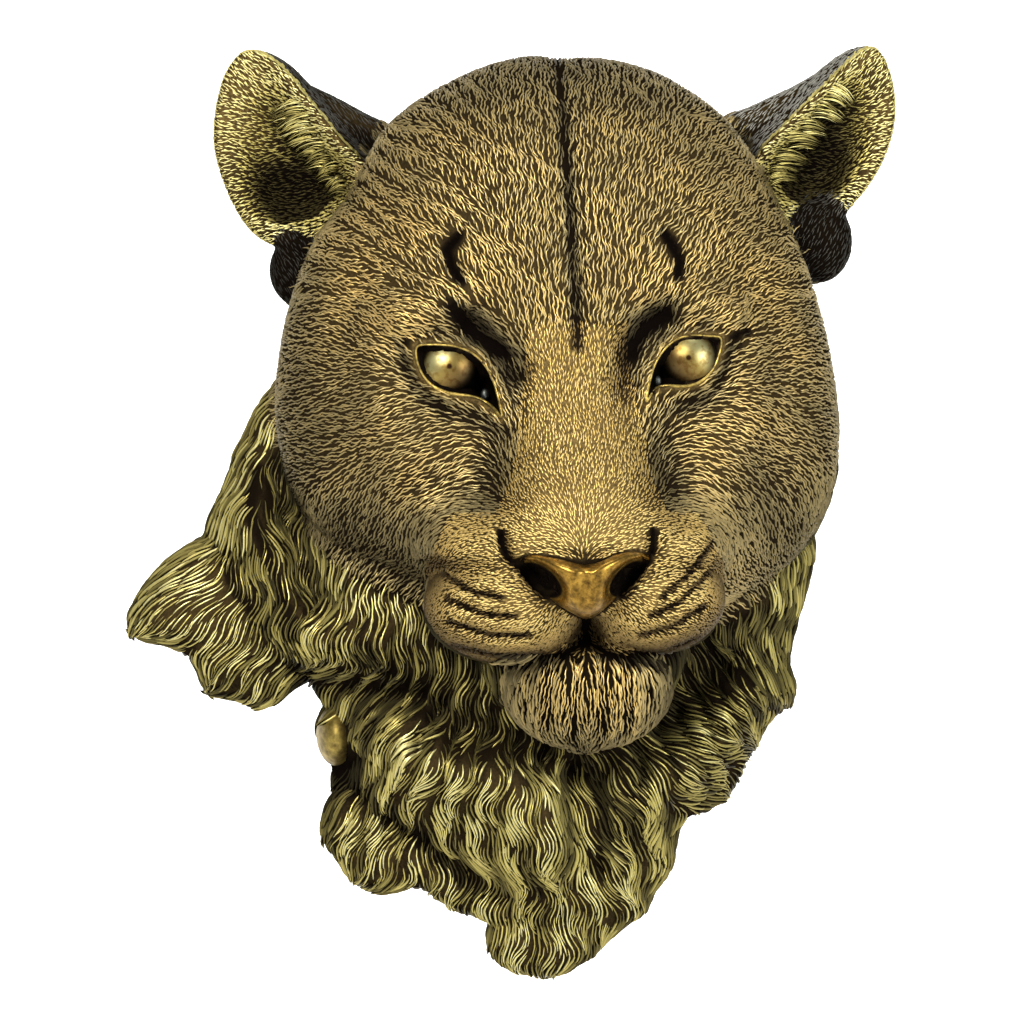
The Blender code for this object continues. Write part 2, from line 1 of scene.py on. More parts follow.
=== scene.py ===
"""The looks of a cast wall head of a lioness in antique gold.

The skin repeats the casting's lumps at a finer grain. The fur is cut in strands that
follow the lie of the coat, and the eyes, lids, nose and knot are burnished pieces.
Forms are drawn in millimetres, front towards -Y, and MM turns them into metres.
"""

import math

import bmesh
import bpy
import numpy as np
from mathutils import Matrix, Vector
from mathutils.bvhtree import BVHTree


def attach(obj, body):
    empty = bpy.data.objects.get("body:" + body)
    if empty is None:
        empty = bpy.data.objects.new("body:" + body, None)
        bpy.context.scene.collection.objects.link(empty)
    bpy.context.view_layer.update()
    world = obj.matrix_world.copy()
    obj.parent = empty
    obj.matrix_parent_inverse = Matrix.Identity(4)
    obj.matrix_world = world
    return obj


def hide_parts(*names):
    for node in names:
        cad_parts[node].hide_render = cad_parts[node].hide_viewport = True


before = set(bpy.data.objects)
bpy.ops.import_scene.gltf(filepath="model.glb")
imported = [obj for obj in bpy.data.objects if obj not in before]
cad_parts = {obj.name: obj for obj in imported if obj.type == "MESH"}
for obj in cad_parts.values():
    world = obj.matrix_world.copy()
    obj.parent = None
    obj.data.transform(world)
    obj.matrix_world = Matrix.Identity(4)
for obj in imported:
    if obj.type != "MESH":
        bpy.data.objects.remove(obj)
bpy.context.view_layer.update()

MM = 0.001
# How far the lumps run behind the wall's plane before they are cut flat
BEHIND_WALL = 5.0
POCKET_WIDTH = 26.0
POCKET_HEIGHT = 18.0
POCKET_DEPTH = 13.0
POCKET_PLACE = (2.0, 62.0)
POCKET_CORNER = 4.0
# How far below their source the coarse locks have their full width
LOCK_REACH = 150.0
# The y from which rays look for the skin, and the depth that the eyes and lids lie beyond
IN_FRONT = -200.0
LID_DEPTH = 90.0

# Outlines are seen from the front as (x, z), and run round their lump

HEAD_MIDDLE = (0.0, 28.0)
HEAD_OUTLINE = [
    (-1, 152), (20, 151.5), (45, 143.5), (70, 124.5), (89, 93), (103, 60), (112, 22),
    (113.5, -12), (105, -40), (82, -64), (45, -86), (12, -92), (-24, -88), (-60, -66),
    (-90, -51), (-108, -28), (-116, 6), (-112.5, 42), (-102, 74), (-86, 97),
    (-70, 125), (-42, 144), (-16, 152.5),
]
HEAD_EDGE = 46.0
HEAD_CROWN = 116.0

NECK_MIDDLE = (0.0, -78.0)
NECK_OUTLINE = [
    (103, -36), (103, -58), (97, -80), (94, -95), (96.5, -108), (86, -120), (77, -136),
    (67, -152), (50, -162), (46, -178), (38, -190), (22, -203), (2, -212), (-20, -207),
    (-42, -194), (-66, -180), (-82, -160), (-88, -138), (-97, -112), (-108, -100),
    (-128, -88), (-142, -64), (-146, -43), (-137, -20), (-130, -2), (-117, 20), (-90, 52),
    (0, 60), (84, 34),
]

FLAP_MIDDLE = (-140.0, -80.0)
FLAP_OUTLINE = [
    (-118, -32), (-146, -44), (-162, -54), (-172, -66), (-177.5, -77), (-174, -85),
    (-162, -88), (-151, -95), (-145, -107), (-131, -111), (-120, -113), (-110, -106),
    (-92, -92), (-95, -60),
]

HEM_MIDDLE = (-70.0, -166.0)
HEM_OUTLINE = [
    (-82, -144), (-93, -150), (-98, -163), (-94, -172), (-86, -184), (-72, -190),
    (-58, -188), (-42, -197), (-26, -199), (-22, -180), (-40, -160), (-62, -146),
]

TAIL_MIDDLE = (4.0, -196.0)
TAIL_OUTLINE = [
    (-24, -188), (-28, -200), (-29, -212), (-20, -221), (-2, -224), (10, -218),
    (24, -206), (38, -192), (34, -172), (6, -164), (-14, -172),
]

LEFT_EAR_MIDDLE = (-110.0, 112.0)
LEFT_EAR_OUTLINE = [
    (-124, 155.5), (-131, 155), (-138, 145), (-141.8, 128), (-141, 112), (-134, 93),
    (-124, 80), (-108, 74), (-92, 77), (-80, 90), (-78, 106), (-90, 120), (-103, 136),
    (-115, 150),
]
RIGHT_EAR_MIDDLE = (107.0, 118.0)
RIGHT_EAR_OUTLINE = [
    (129, 157.5), (135, 149), (137.8, 134), (136, 120), (130, 106), (122, 95), (112, 85),
    (98, 80), (84, 86), (76, 100), (82, 114), (96, 129), (109, 142), (121, 153.5),
]

# The backs of the ears, which show above their front rims
LEFT_EAR_BACK_MIDDLE = (-90.0, 121.0)
LEFT_EAR_BACK_OUTLINE = [
    (-117, 148), (-106, 143.5), (-94, 138), (-82, 131.5), (-68, 123), (-66, 108), (-80, 98),
    (-96, 106), (-112, 128),
]
RIGHT_EAR_BACK_MIDDLE = (90.0, 123.0)
RIGHT_EAR_BACK_OUTLINE = [
    (118, 151), (108, 148), (96, 141.5), (80, 134), (64, 126), (62, 110), (78, 100), (94, 108),
    (108, 130),
]

# Face landmarks as (x, z); the head is turned a little, so the sides differ
LEFT_EYE = (-45.0, 25.0)
RIGHT_EYE = (52.0, 28.5)
LEFT_LIDS = [
    (-57.8, 33.6), (-52, 34.0), (-45, 33.6), (-40, 32.4), (-35, 29.8), (-30.5, 25),
    (-27, 18), (-25, 11), (-24, 5), (-27.5, 9), (-32.5, 12.6), (-38, 14.2), (-45, 15.2),
    (-51, 17.6), (-55.2, 22), (-57.8, 28),
]
RIGHT_LIDS = [
    (35, 11), (36.4, 19), (39, 26.6), (43, 32.6), (48, 36.4), (54, 37.8), (60, 37.4),
    (65, 37), (64, 30.4), (61, 24), (56, 19.4), (50, 18), (44, 18.2), (39, 17),
]
EYE_RADIUS = 14.5
EYE_DEPTH = 115.5
MUZZLE_MIDDLE = (8.0, -60.0)
MUZZLE_OUTLINE = [
    (-53, -58), (-52, -74), (-40, -88), (-16, -95), (12, -95), (38, -92), (57, -83), (65, -68),
    (62, -50), (50, -32), (30, -20), (8, -16), (-14, -20), (-40, -34),
]
NOSE_TIP = (9.5, -61.0)
NOSE_OUTLINE = [
    (-17, -53), (-13, -50), (-5, -50.6), (3, -52.6), (10, -54), (17, -52.4), (24, -49.4),
    (31, -48.8), (36, -52), (33, -58.5), (26.5, -65.5), (20, -70.5), (14.5, -75), (10, -76.5),
    (6, -75), (-1, -71), (-9.5, -65.8), (-15.5, -59.5),
]
NOSTRILS = [((-7.8, -61.0), (9.6, 4.9), -38.0), ((27.0, -60.4), (9.0, 4.7), 44.0)]
# The slits beside the wings of the nose
NOSE_SLITS = [
    [(-24.2, -41), (-23.6, -47), (-21, -52.3), (-17, -55.8)],
    [(37.2, -40.5), (37.4, -46.5), (36.2, -51.6), (34, -55.4)],
]
# Whisker grooves: first outer end and its step, first inner end and its step
LEFT_WHISKERS = ((-47, -59), (1.0, -9.4), (-24, -68), (5.6, -7.6))
RIGHT_WHISKERS = ((61.5, -46), (-1.6, -12.6), (41, -68), (-4.2, -7.6))
CHIN = (11.0, -105.0)
CHIN_REACH = (34.0, 24.5)

# Smaller lumps: middle, reach, depth of the edge and height of the crown above it
JAW = ((8.0, -90.0), (42.0, 34.0), 70.0, 48.0)
LEFT_EAR_ROOT = ((-106.0, 66.0), (13.0, 15.0), 30.0, 11.0)
RIGHT_EAR_ROOT = ((106.0, 78.0), (14.0, 17.0), 31.0, 11.0)
KNOT = ((-91.5, -125.0), (8.5, 13.0), 14.0, 20.0)
KNOT_STEM = ((-88.0, -140.0), (6.0, 14.0), 8.0, 12.0)
LEFT_PAD = ((-21.5, -71.0), (33.5, 23.5))
RIGHT_PAD = ((38.5, -68.0), (28.0, 22.5))


def midline(z):
    """The x of the head's middle line at a height."""
    return 9.5 - 10.5 * ((z + 80.0) / 233.0) ** 2


def whisker_rows(outer, outer_step, inner, inner_step):
    """The four grooves of a whisker pad, which fan outwards and sag in the middle."""
    rows = []
    for row in range(4):
        start = (outer[0] + outer_step[0] * row, outer[1] + outer_step[1] * row)
        end = (inner[0] + inner_step[0] * row, inner[1] + inner_step[1] * row)
        bend = ((start[0] + end[0]) / 2, (start[1] + end[1]) / 2 - 2.5)
        rows.append([start, bend, end])
    return rows


# The skin's grain, and the facets kept on it
SKIN_GRAIN = 1.6
SKIN_FACETS = 150000
# How deep the feet of the strands lie in the skin, and the most triangles in one piece
SINK = 0.45
PIECE_LIMIT = 180000

# How the head's fur lies, as (x, z) and the way it runs there, from the front
HEAD_LIE = [
    ((8, 140), (0, 1)), ((8, 90), (0, 1)), ((8, 50), (0, 1)), ((-30, 120), (-.3, 1)),
    ((-60, 118), (-.75, .65)), ((-70, 90), (-.8, .6)), ((-45, 70), (-.45, .9)),
    ((-85, 70), (-.95, .3)), ((-105, 45), (-1, 0)), ((-75, 45), (-.95, .3)),
    ((-50, 45), (-.8, .6)), ((-100, 0), (-1, -.1)), ((-60, 0), (-.9, -.35)),
    ((-45, -20), (-.75, -.65)), ((-85, -35), (-.5, -.85)), ((-60, -50), (-.6, -.8)),
    ((8, 0), (0, 1)), ((-15, -20), (-.3, 1)), ((-20, -65), (-1, -.1)),
    ((-20, -85), (-.8, -.6)), ((-26, 22), (-.5, .85)), ((-20, -42), (-.8, .2)),
]
CHIN_LIE = [((12, -110), (0, -1)), ((-15, -110), (-.35, -1)), ((40, -110), (.4, -1))]
NECK_LIE = [
    ((-127, -8), (-.25, -1)), ((-129, -53), (.1, -1)), ((-147, -65), (-.8, -.5)),
    ((-168, -69), (-.8, -.6)), ((-135, -90), (-.5, -.85)), ((-110, -78), (-.2, -1)),
    ((-90, -69), (0, -1)), ((-65, -78), (.1, -1)), ((-94, -110), (-.6, -.8)),
    ((-65, -110), (-.35, -.95)), ((-45, -127), (-.2, -1)), ((-60, -137), (-.8, -.5)),
    ((-65, -147), (-.6, -.8)), ((-33, -150), (-.2, -1)), ((-15, -150), (-.15, -1)),
    ((-6, -168), (.1, -1)), ((-51, -168), (.1, -1)), ((-83, -163), (-.5, -.8)),
    ((-70, -171), (-.4, -.9)), ((-20, -204), (-.35, -.95)), ((3, -204), (.15, -1)),
    ((9, -199), (.2, -1)), ((31, -131), (.7, -.7)), ((60, -125), (.9, -.35)),
    ((82, -80), (0, -1)), ((91, -102), (.5, -.85)), ((26, -148), (.5, -.85)),
    ((20, -176), (.6, -.6)), ((40, -176), (.2, -1)),
]
EAR_LIE = [((-138, 125), (-1, .1)), ((-125, 85), (-.85, -.4)), ((-125, 145), (-.6, .8)),
           ((-95, 110), (-.9, -.1))]

# Each coat: length, width, height, spacing across, spacing along, stations, wave, tone
COATS = {
    "forehead": (7.6, 1.22, 0.90, 1.04, 3.7, 6, 0.34, 0.70),
    "cheek": (7.6, 1.22, 0.90, 1.04, 3.7, 6, 0.34, 0.62),
    "bridge": (4.0, 1.06, 0.60, 0.84, 1.9, 4, 0.30, 0.80),
    "muzzle": (3.5, 1.02, 0.60, 0.80, 1.7, 4, 0.30, 0.92),
    "chin": (9.5, 1.00, 1.3, 1.06, 5.6, 8, 0.24, 0.92),
    "neck": (15.0, 1.18, 1.30, 1.24, 9.6, 9, 0.05, 1.02),
    "ear": (4.6, 0.90, 0.60, 0.76, 2.3, 4, 0.36, 0.88),
    "ear_back": (5.5, 1.00, 0.45, 0.95, 3.0, 4, 0.20, 0.62),
}

# Patches where the dark patina was left, and patches of painted shade under the jaw and chin, beside the
# nose, on the cheeks and in the folds of the neck: place, spread, turn, strength
PATINA_AND_SHADE_PATCHES = [
    ((-36, 43), (9, 3.4), -40, 1.00), ((-27, 34), (7, 3.2), -52, 0.95),
    ((38, 45.5), (8, 3.4), 28, 1.00), ((31, 38), (6, 3.6), 52, 0.95), ((27, 29), (3, 7), -8, 0.70),
    ((-21, 23), (3.4, 8), 14, 0.45),
    ((-36, 5), (12, 3.2), -22, 0.45), ((50, 10), (11, 3.0), 14, 0.40),
    ((-28, -18), (5, 18), -8, 0.22), ((41, -10), (5, 20), 8, 0.36),
    ((-100, 8), (10, 52), 4, 0.22), ((-84, -44), (22, 12), -30, 0.40), ((90, -38), (12, 16), 20, 0.30),
    ((0, 152), (60, 16), 0, 0.30), ((12, -132), (34, 8), 0, 0.45),
    ((66, -98), (18, 14), 28, 0.62), ((-46, -101), (26, 9), -20, 0.50),
    ((-32, -120), (22, 8), -10, 0.42), ((46, -114), (9, 18), -20, 0.52),
    ((30, -150), (6, 20), -12, 0.55), ((-110, -40), (8, 26), 12, 0.42),
    ((-84, -106), (24, 6), -14, 0.52), ((-122, -66), (6, 15), 20, 0.42),
    ((-90, -142), (9, 8), 0, 0.80), ((-78, -118), (7, 8), 0, 0.60), ((-12, -188), (5, 16), 10, 0.35),
]

# Bare dark grooves: path, half width left bare, half width of the dark, strength
DARK_LINES = [
    ([(midline(h), h) for h in (158, 120, 90, 62, 34)], 0.12, 2.1, 0.56),
    ([(-41, 79), (-46, 73), (-44.5, 66), (-40, 60)], 0.8, 1.6, 0.92),
    ([(42, 80), (46.5, 73), (49, 68), (47.5, 62)], 0.8, 1.6, 0.92),
    ([(-43, 49), (-35, 39), (-23, 31.6)], 1.5, 3.2, 0.96),
    ([(43, 46.8), (32.5, 39.6), (29, 31)], 1.5, 3.3, 0.96),
    ([(10, -76), (10.4, -82), (10.4, -87)], 1.0, 2.0, 0.95),
    ([(10.4, -86), (0, -91.6), (-16, -96.6), (-34, -98)], 0.5, 1.6, 0.85),
    ([(10.4, -86), (20.4, -91.6), (37, -96.6), (48, -96)], 0.5, 1.6, 0.85),
    ([(-64.5, 35.4), (-57.8, 33.8)], 0.4, 1.1, 0.9),
    ([(64.6, 37.2), (70, 37.6), (76, 40)], 0.4, 1.1, 0.9),
    ([(-65.4, 35), (-62, 22.6), (-58, 14.4), (-51, 9.4), (-43, 7.6), (-34, 6.4)], 0.1, 1.7, 0.45),
    ([(71.4, 37), (68, 31), (66, 22.6), (63, 15.6), (57, 12), (49, 11)], 0.1, 1.7, 0.45),
]
# Painted shade in the deep gaps between the locks of the neck: path, half width of the dark, strength
NECK_GAP_SHADE = [
    ([(-124, -16), (-127.5, -33), (-121, -48), (-114.4, -68), (-108, -83)], 2.6, 0.62),
    ([(-112.4, -9), (-108, -27), (-95, -46), (-82, -59)], 3.0, 0.62),
    ([(-95, -48), (-75, -60), (-56, -69), (-44, -92)], 4.6, 0.66),
    ([(-141, -44), (-133, -66), (-125.4, -75)], 2.2, 0.60),
    ([(-110, -96), (-103.4, -105)], 3.5, 0.80),
    ([(-84, -134), (-84, -147)], 4.5, 0.80),
    ([(-80, -150), (-58, -168), (-44, -181), (-30, -190)], 3.2, 0.66),
    ([(-80, -89.5), (-66.6, -100.5), (-49, -109), (-30, -116)], 3.6, 0.62),
    ([(44, -96), (60, -88), (76, -80), (92, -78)], 5.5, 0.62),
    ([(12, -134), (18, -150), (22, -170)], 3.2, 0.66),
    ([(58, -128), (74, -116), (88, -108)], 2.8, 0.45),
]
for slit in NOSE_SLITS:
    DARK_LINES.append((slit, 0.75, 1.0, 0.95))
for rows in (LEFT_WHISKERS, RIGHT_WHISKERS):
    DARK_LINES += [(path, 0.1, 1.25, 0.70) for path in whisker_rows(*rows)]

# Patches where the gold was rubbed brightest: place, spread, turn, strength
BRIGHT_PATCHES = [
    ((10, -36), (24, 13), 0, 0.22), ((-44, -10), (12, 14), 20, 0.04),
    ((62, -8), (14, 14), -20, 0.14), ((-32, 58), (14, 16), 0, 0.08), ((34, 62), (14, 16), 0, 0.08),
    ((-64, 44), (14, 6), -10, 0.20), ((70, 47), (13, 6), 10, 0.20), ((10, -46), (30, 6), 0, 0.14),
    ((52, -66), (16, 14), 30, 0.42), ((-30, -76), (18, 10), -20, 0.20), ((-50, -36), (14, 10), 0, -0.12),
    ((-47, 12), (10, 3), -18, 0.25), ((54, 15), (10, 3), 14, 0.25), ((34, 6), (2.4, 12), 6, 0.25),
    ((92, 70), (16, 40), 0, 0.12), ((-92, 70), (16, 40), 0, 0.12), ((0, 100), (46, 36), 0, -0.10),
]

# How much gold dust the skin between the strands takes, by coat
DUST = {"forehead": 0.55, "cheek": 0.52, "bridge": 0.80, "muzzle": 0.75, "chin": 0.18,
        "neck": 0.58, "ear": 0.74, "ear_back": 0.60, "": 0.40}

# How a coat darkens as it turns away from the front, partly the gold brushed on from the front and partly
# painted shade on the turned sides: darkest share, slope that is full, power
FACING = {"muzzle": (0.12, 0.70, 1.3), "neck": (0.22, 0.75, 1.2)}
PLAIN_FACING = (0.50, 0.80, 1.0)

# The dark hollows of the ears, as painted shade: place, spread, turn, strength
EAR_HOLLOW_SHADE = [
    ((-106, 94), (15, 10), -33, 1.9), ((-106, 118), (7, 14), 28, 0.95),
    ((103, 103), (15, 8.5), 54, 2.2), ((100, 90), (8, 10), 0, 1.6),
    ((108, 122), (7, 13), -30, 1.1),
]
EARS = [(LEFT_EAR_OUTLINE, LEFT_EAR_MIDDLE), (RIGHT_EAR_OUTLINE, RIGHT_EAR_MIDDLE)]

# Ear tufts as (root, tip) of each clump, and how wide a clump is at its root
EAR_TUFTS = {
    "left_ear_tufts": [
        ((-105, 132), (-120.3, 128)), ((-101.5, 126.5), (-117.5, 121.4)),
        ((-99, 121), (-114, 117.4)), ((-96.6, 116), (-110.4, 113.6)),
        ((-93.4, 111), (-105.4, 109)), ((-90, 106), (-101, 103.4)), ((-87, 101), (-97, 98)),
    ],
    "right_ear_tufts": [
        ((109, 139.5), (121, 133)), ((104, 131.5), (118, 127)), ((97, 124), (111, 122.6)),
        ((91.5, 118), (107.6, 117.4)), ((88, 111), (104, 110)), ((86, 104), (99.6, 104.4)),
    ],
}
TUFT_WIDTH = 9.0

# The small beads in the inner corners of the eyes, as (x, z)
TEAR_BEADS = {"left_tear_bead": (-30.6, 14.2), "right_tear_bead": (39.4, 19.6)}

# The camera's distance, the width and middle of its view, and the depth at which they hold
CAMERA_AWAY = 6.0
VIEW_WIDTH = 0.4184
VIEW_MIDDLE = (-0.0196, -0.0335)
FOCUS_DEPTH = 0.07
# Each light: name, place, aim, size, power, colour
LIGHTS = [
    ("key", (-0.8, -2.1, 1.1), (0, -0.05, 0), (1.1, 0.9), 64.0, (1.0, 0.98, 0.94)),
    ("fill", (1.6, -1.7, 0.3), (0, -0.05, 0), (1.0, 1.0), 34.0, (0.95, 0.98, 1.0)),
    ("top", (0.0, -0.6, 2.2), (0, -0.05, 0), (1.4, 0.8), 12.0, (1.0, 1.0, 1.0)),
    ("rear", (0.4, 2.4, 1.6), (0, 0, 0), (1.6, 1.6), 26.0, (1.0, 1.0, 1.0)),
]

# The gold of each coat, from its darkest tone to its brightest
FACE_TONES = [(0.0, (0.008, 0.006, 0.004)), (0.18, (0.070, 0.055, 0.028)),
              (0.40, (0.30, 0.235, 0.105)), (0.60, (0.55, 0.41, 0.165)),
              (0.80, (0.80, 0.56, 0.20)), (1.0, (0.98, 0.74, 0.28))]
NECK_TONES = [(0.0, (0.008, 0.007, 0.004)), (0.18, (0.075, 0.062, 0.024)),
              (0.40, (0.33, 0.27, 0.080)), (0.66, (0.74, 0.62, 0.19)), (1.0, (1.0, 0.90, 0.40))]
WARM_TONES = [(0.0, (0.010, 0.007, 0.004)), (0.18, (0.09, 0.060, 0.024)),
              (0.42, (0.36, 0.245, 0.085)), (0.66, (0.66, 0.46, 0.15)), (1.0, (0.98, 0.74, 0.27))]
BACK_TONES = [(0.0, (0.010, 0.009, 0.008)), (0.25, (0.070, 0.066, 0.055)),
              (0.60, (0.26, 0.25, 0.215)), (1.0, (0.50, 0.48, 0.41))]
VALLEY = (0.006, 0.004, 0.003)
BLACK = (0, 0, 0)
WHITE = (1, 1, 1)


def linked(name, data):
    """Puts a mesh or a curve into the scene as an object."""
    piece = bpy.data.objects.new(name, data)
    bpy.context.collection.objects.link(piece)
    return piece


def finished(shape, name, smooth=True):
    """Turns a bmesh into a linked object with its place in its mesh."""
    mesh = bpy.data.meshes.new(name)
    shape.to_mesh(mesh)
    shape.free()
    if smooth:
        mesh.shade_smooth()
    return linked(name, mesh)


def rounded_path(points, steps=6):
    """A smooth closed path through the points."""
    ring = np.array(points, dtype=float)
    before, after, beyond = (np.roll(ring, shift, axis=0) for shift in (1, -1, -2))
    run = np.linspace(0, 1, steps, endpoint=False)[:, None, None]
    curve = 0.5 * (2 * ring + (after - before) * run
                   + (2 * before - 5 * ring + 4 * after - beyond) * run ** 2
                   + (3 * ring - before - 3 * after + beyond) * run ** 3)
    return curve.transpose(1, 0, 2).reshape(-1, ring.shape[1])


def outline_radius(points, middle):
    """Gives the distance from the middle to a smooth closed outline, by angle."""
    curve = rounded_path(np.array(points, dtype=float) - np.array(middle), 12)
    angles = np.arctan2(curve[:, 1], curve[:, 0])
    order = np.argsort(angles)
    reach = np.hypot(curve[:, 0], curve[:, 1])[order]
    turn = angles[order]
    return lambda angle: np.interp(angle, turn, reach, period=2 * math.pi)


def path_distance(x, z, path):
    """Gives each point's distance to a path, and how far along it that lies."""
    best = np.full(x.shape, 1e9)
    along = np.zeros(x.shape)
    count = len(path) - 1
    for step in range(count):
        ax, az = path[step]
        bx, bz = path[step + 1]
        length = (bx - ax) ** 2 + (bz - az) ** 2
        share = np.clip(((x - ax) * (bx - ax) + (z - az) * (bz - az)) / length, 0, 1)
        gap = np.hypot(x - ax - share * (bx - ax), z - az - share * (bz - az))
        nearer = gap < best
        along = np.where(nearer, (step + share) / count, along)
        best = np.where(nearer, gap, best)
    return best, along


def outline_gap(x, z, outline):
    """Gives each point's distance to a closed outline."""
    return path_distance(x, z, outline + outline[:1])[0]


def inside_outline(x, z, outline):
    """True where a point lies inside a closed outline."""
    held = np.zeros(x.shape, dtype=bool)
    for (ax, az), (bx, bz) in zip(outline, outline[1:] + outline[:1]):
        crosses = (az > z) != (bz > z)
        rise = bz - az if bz != az else 1e-9
        held ^= crosses & (x < ax + (z - az) * (bx - ax) / rise)
    return held


def outline_share(x, z, points, middle):
    """How far out a point lies, where 1 is on the outline."""
    dx, dz = x - middle[0], z - middle[1]
    return np.hypot(dx, dz) / outline_radius(points, middle)(np.arctan2(dz, dx))


def in_any(x, z, outlines, limit):
    """True where a point lies within the limit of one of the outlines."""
    return np.minimum.reduce([outline_share(x, z, *outline) for outline in outlines]) < limit


def oval_share(x, z, place, reach, turn):
    """How far out a point lies in a turned oval, squared, where 1 is on its edge."""
    c, s = math.cos(math.radians(turn)), math.sin(math.radians(turn))
    dx, dz = x - place[0], z - place[1]
    return ((dx * c + dz * s) / reach[0]) ** 2 + ((-dx * s + dz * c) / reach[1]) ** 2


def mound(x, z, place, spread, height, turn=0.0):
    """A soft oval mound, or a hollow where the height is negative."""
    return height * np.exp(-0.5 * oval_share(x, z, place, spread, turn))


def hole(x, z, place, reach, turn, amount):
    """An oval hollow with steep walls, such as a nostril."""
    return amount / (1 + oval_share(x, z, place, reach, turn) ** 2.5)


def stroke(x, z, path, width, height, fade=0.18):
    """A ridge along a path, or a groove, that fades out at its two ends."""
    gap, along = path_distance(x, z, path)
    ends = np.clip(np.minimum(along, 1 - along) / fade, 0, 1)
    ends = 0.15 + 0.85 * ends * ends * (3 - 2 * ends)
    return height * ends * np.exp(-0.5 * (gap / width) ** 2)


def opening(x, z, outline, lip, amount):
    """A hollow inside a closed outline, whose walls are as wide as the lip."""
    gap = outline_gap(x, z, outline)
    share = np.clip(np.where(inside_outline(x, z, outline), gap, -gap) / lip + 0.3, 0, 1)
    return amount * share * share * (3 - 2 * share)


def worked(x, z, depth, forms):
    """Adds forms to a depth in turn: a path makes a stroke, and a point makes a mound."""
    for where, width, height, *last in forms:
        form = stroke if isinstance(where, list) else mound
        depth = depth + form(x, z, where, width, height, *last)
    return depth


def muzzle_bridge(x, z):
    """The nose bridge and muzzle: a broad ridge that swells down to the nose."""
    heights = np.interp(z, [-112, -98, -88, -76, -62, -48, -30, -8, 10, 28, 50, 80],
                        [0, 14, 32, 50, 56, 53, 40, 21, 10, 4.5, 1.5, 0])
    widths = np.interp(z, [-112, -92, -76, -62, -50, -38, -26, -10, 12, 40, 80],
                       [44, 51, 56, 56, 52, 42, 34, 30, 27, 27, 30])
    across = np.abs(x - midline(z) + np.interp(z, [-70, -40], [2, 0])) / widths
    return heights * np.exp(-0.8 * across ** 3.4)


def face_strokes(x, z):
    """All that is modelled on the front of the head, as added depth."""
    parting = [(midline(h), h) for h in (156, 120, 90, 62, 34)]
    depth = worked(x, z, muzzle_bridge(x, z), [
        # The parting on the forehead, and the two long swells beside it
        (parting, 2.6, -3.2, 0.12),
        ((-26, 92), (20, 34), 3.0),
        ((34, 92), (18, 34), 3.0),
        # Temples, cheekbones and the soft hollows that bound the mask
        ((-84, 62), (15, 24), -4.0, 20),
        ((86, 64), (14, 24), -4.0, -20),
        ([(-60, 56), (-72, 32), (-72, -2), (-60, -28)], 10, 5.0),
        ([(68, 58), (77, 34), (78, 0), (68, -24)], 10, 5.0),
        ([(-90, 66), (-92, 10), (-80, -38)], 9, -3.5),
        ([(90, 68), (94, 10), (86, -34)], 9, -3.5),
        ((-47, -47), (14, 12), 22.0, 20),
        ((59, -43), (12, 12), 20.0, -20),
        ((-52, -30), (18, 15), 5.0, 30),
        ((62, -16), (13, 18), 4.0, -20),
        # Brows, with the slit on each
        ([(-74, 42), (-52, 49), (-34, 46)], 7.5, 6.0),
        ([(78, 46), (60, 52), (44, 49)], 7.5, 6.0),
        ([(-41, 79), (-46, 73), (-44.5, 66), (-40, 60)], 1.9, -3.6),
        ([(42, 80), (46.5, 73), (49, 68), (47.5, 62)], 1.9, -3.6),
        # The dark hollows from the brow to the inner corner of each eye
        ([(-42, 51), (-31, 38), (-20, 29), (-15, 18)], 4.4, -7.5),
        ([(46, 51), (34, 43), (27, 34), (24.5, 22), (28, 8)], 4.4, -7.5),
    ])
    # Eye sockets, the openings between the lids, and the lids' raised rims
    for place, turn in ((LEFT_EYE, -14), (RIGHT_EYE, 18)):
        depth += mound(x, z, place, (21, 15), -5.0, turn)
        depth += mound(x, z, place, (13, 10), 3.0, turn)
    for lids in (LEFT_LIDS, RIGHT_LIDS):
        depth += stroke(x, z, lids + lids[:1], 2.6, 3.4, 0.01)
        depth += opening(x, z, lids, 2.2, -15.0)
    depth = worked(x, z, depth, [
        ([(-76, 33), (-64, 37.5), (-52, 40.5), (-40, 39), (-30, 31)], 1.6, -2.2),
        ([(34, 26), (42, 39), (52, 43), (64, 43), (80, 40)], 1.6, -2.2),
        ([(-68, 36), (-63, 24), (-54, 12), (-42, 6.5)], 2.4, -2.8),
        ([(75, 38), (70, 26), (62, 15), (50, 11)], 2.4, -2.4),
        # Hollows down both sides of the nose
        ([(-24, 4), (-26, -16), (-30, -36)], 6, -3.5),
        ([(34, 6), (42, -14), (50, -34), (54, -44)], 6, -4.5),
    ])
    # The seat of the nose leather, the groove below it and the slits beside its wings
    depth += opening(x, z, NOSE_OUTLINE, 3.5, -20.0)
    depth += stroke(x, z, [(10, -76), (11, -84), (12, -98)], 4.5, -16, 0.02)
    for slit in NOSE_SLITS:
        depth += stroke(x, z, slit, 1.6, -7, 0.1)
    return depth


def head_front(x, z, r):
    """Depth of the head's front: a boxy dome with the face worked into it."""
    dome = (1.0 - r ** 2.7) ** 0.5
    fade = np.clip((1.0 - r) / np.interp(z, [-80, -30], [0.10, 0.22]), 0, 1)
    brow_to_jaw = np.interp(z, [-100, -20, 40, 150], [9, 2, 0, 4])
    return HEAD_EDGE + (HEAD_CROWN - HEAD_EDGE + brow_to_jaw) * dome + face_strokes(x, z) * fade


def muzzle_front(x, z, r):
    """Depth of the box of the muzzle, which carries the pads and the nose."""
    depth = 92.0 + 58.0 * np.clip(1 - r ** 2.8, 0, 1) ** 0.5
    depth += stroke(x, z, [(10, -76), (11, -84), (12, -100)], 5.0, -26, 0.02)
    depth -= 0.35 * np.clip(-72 - z, 0, 40)
    return depth + opening(x, z, NOSE_OUTLINE, 3.0, -14.0)


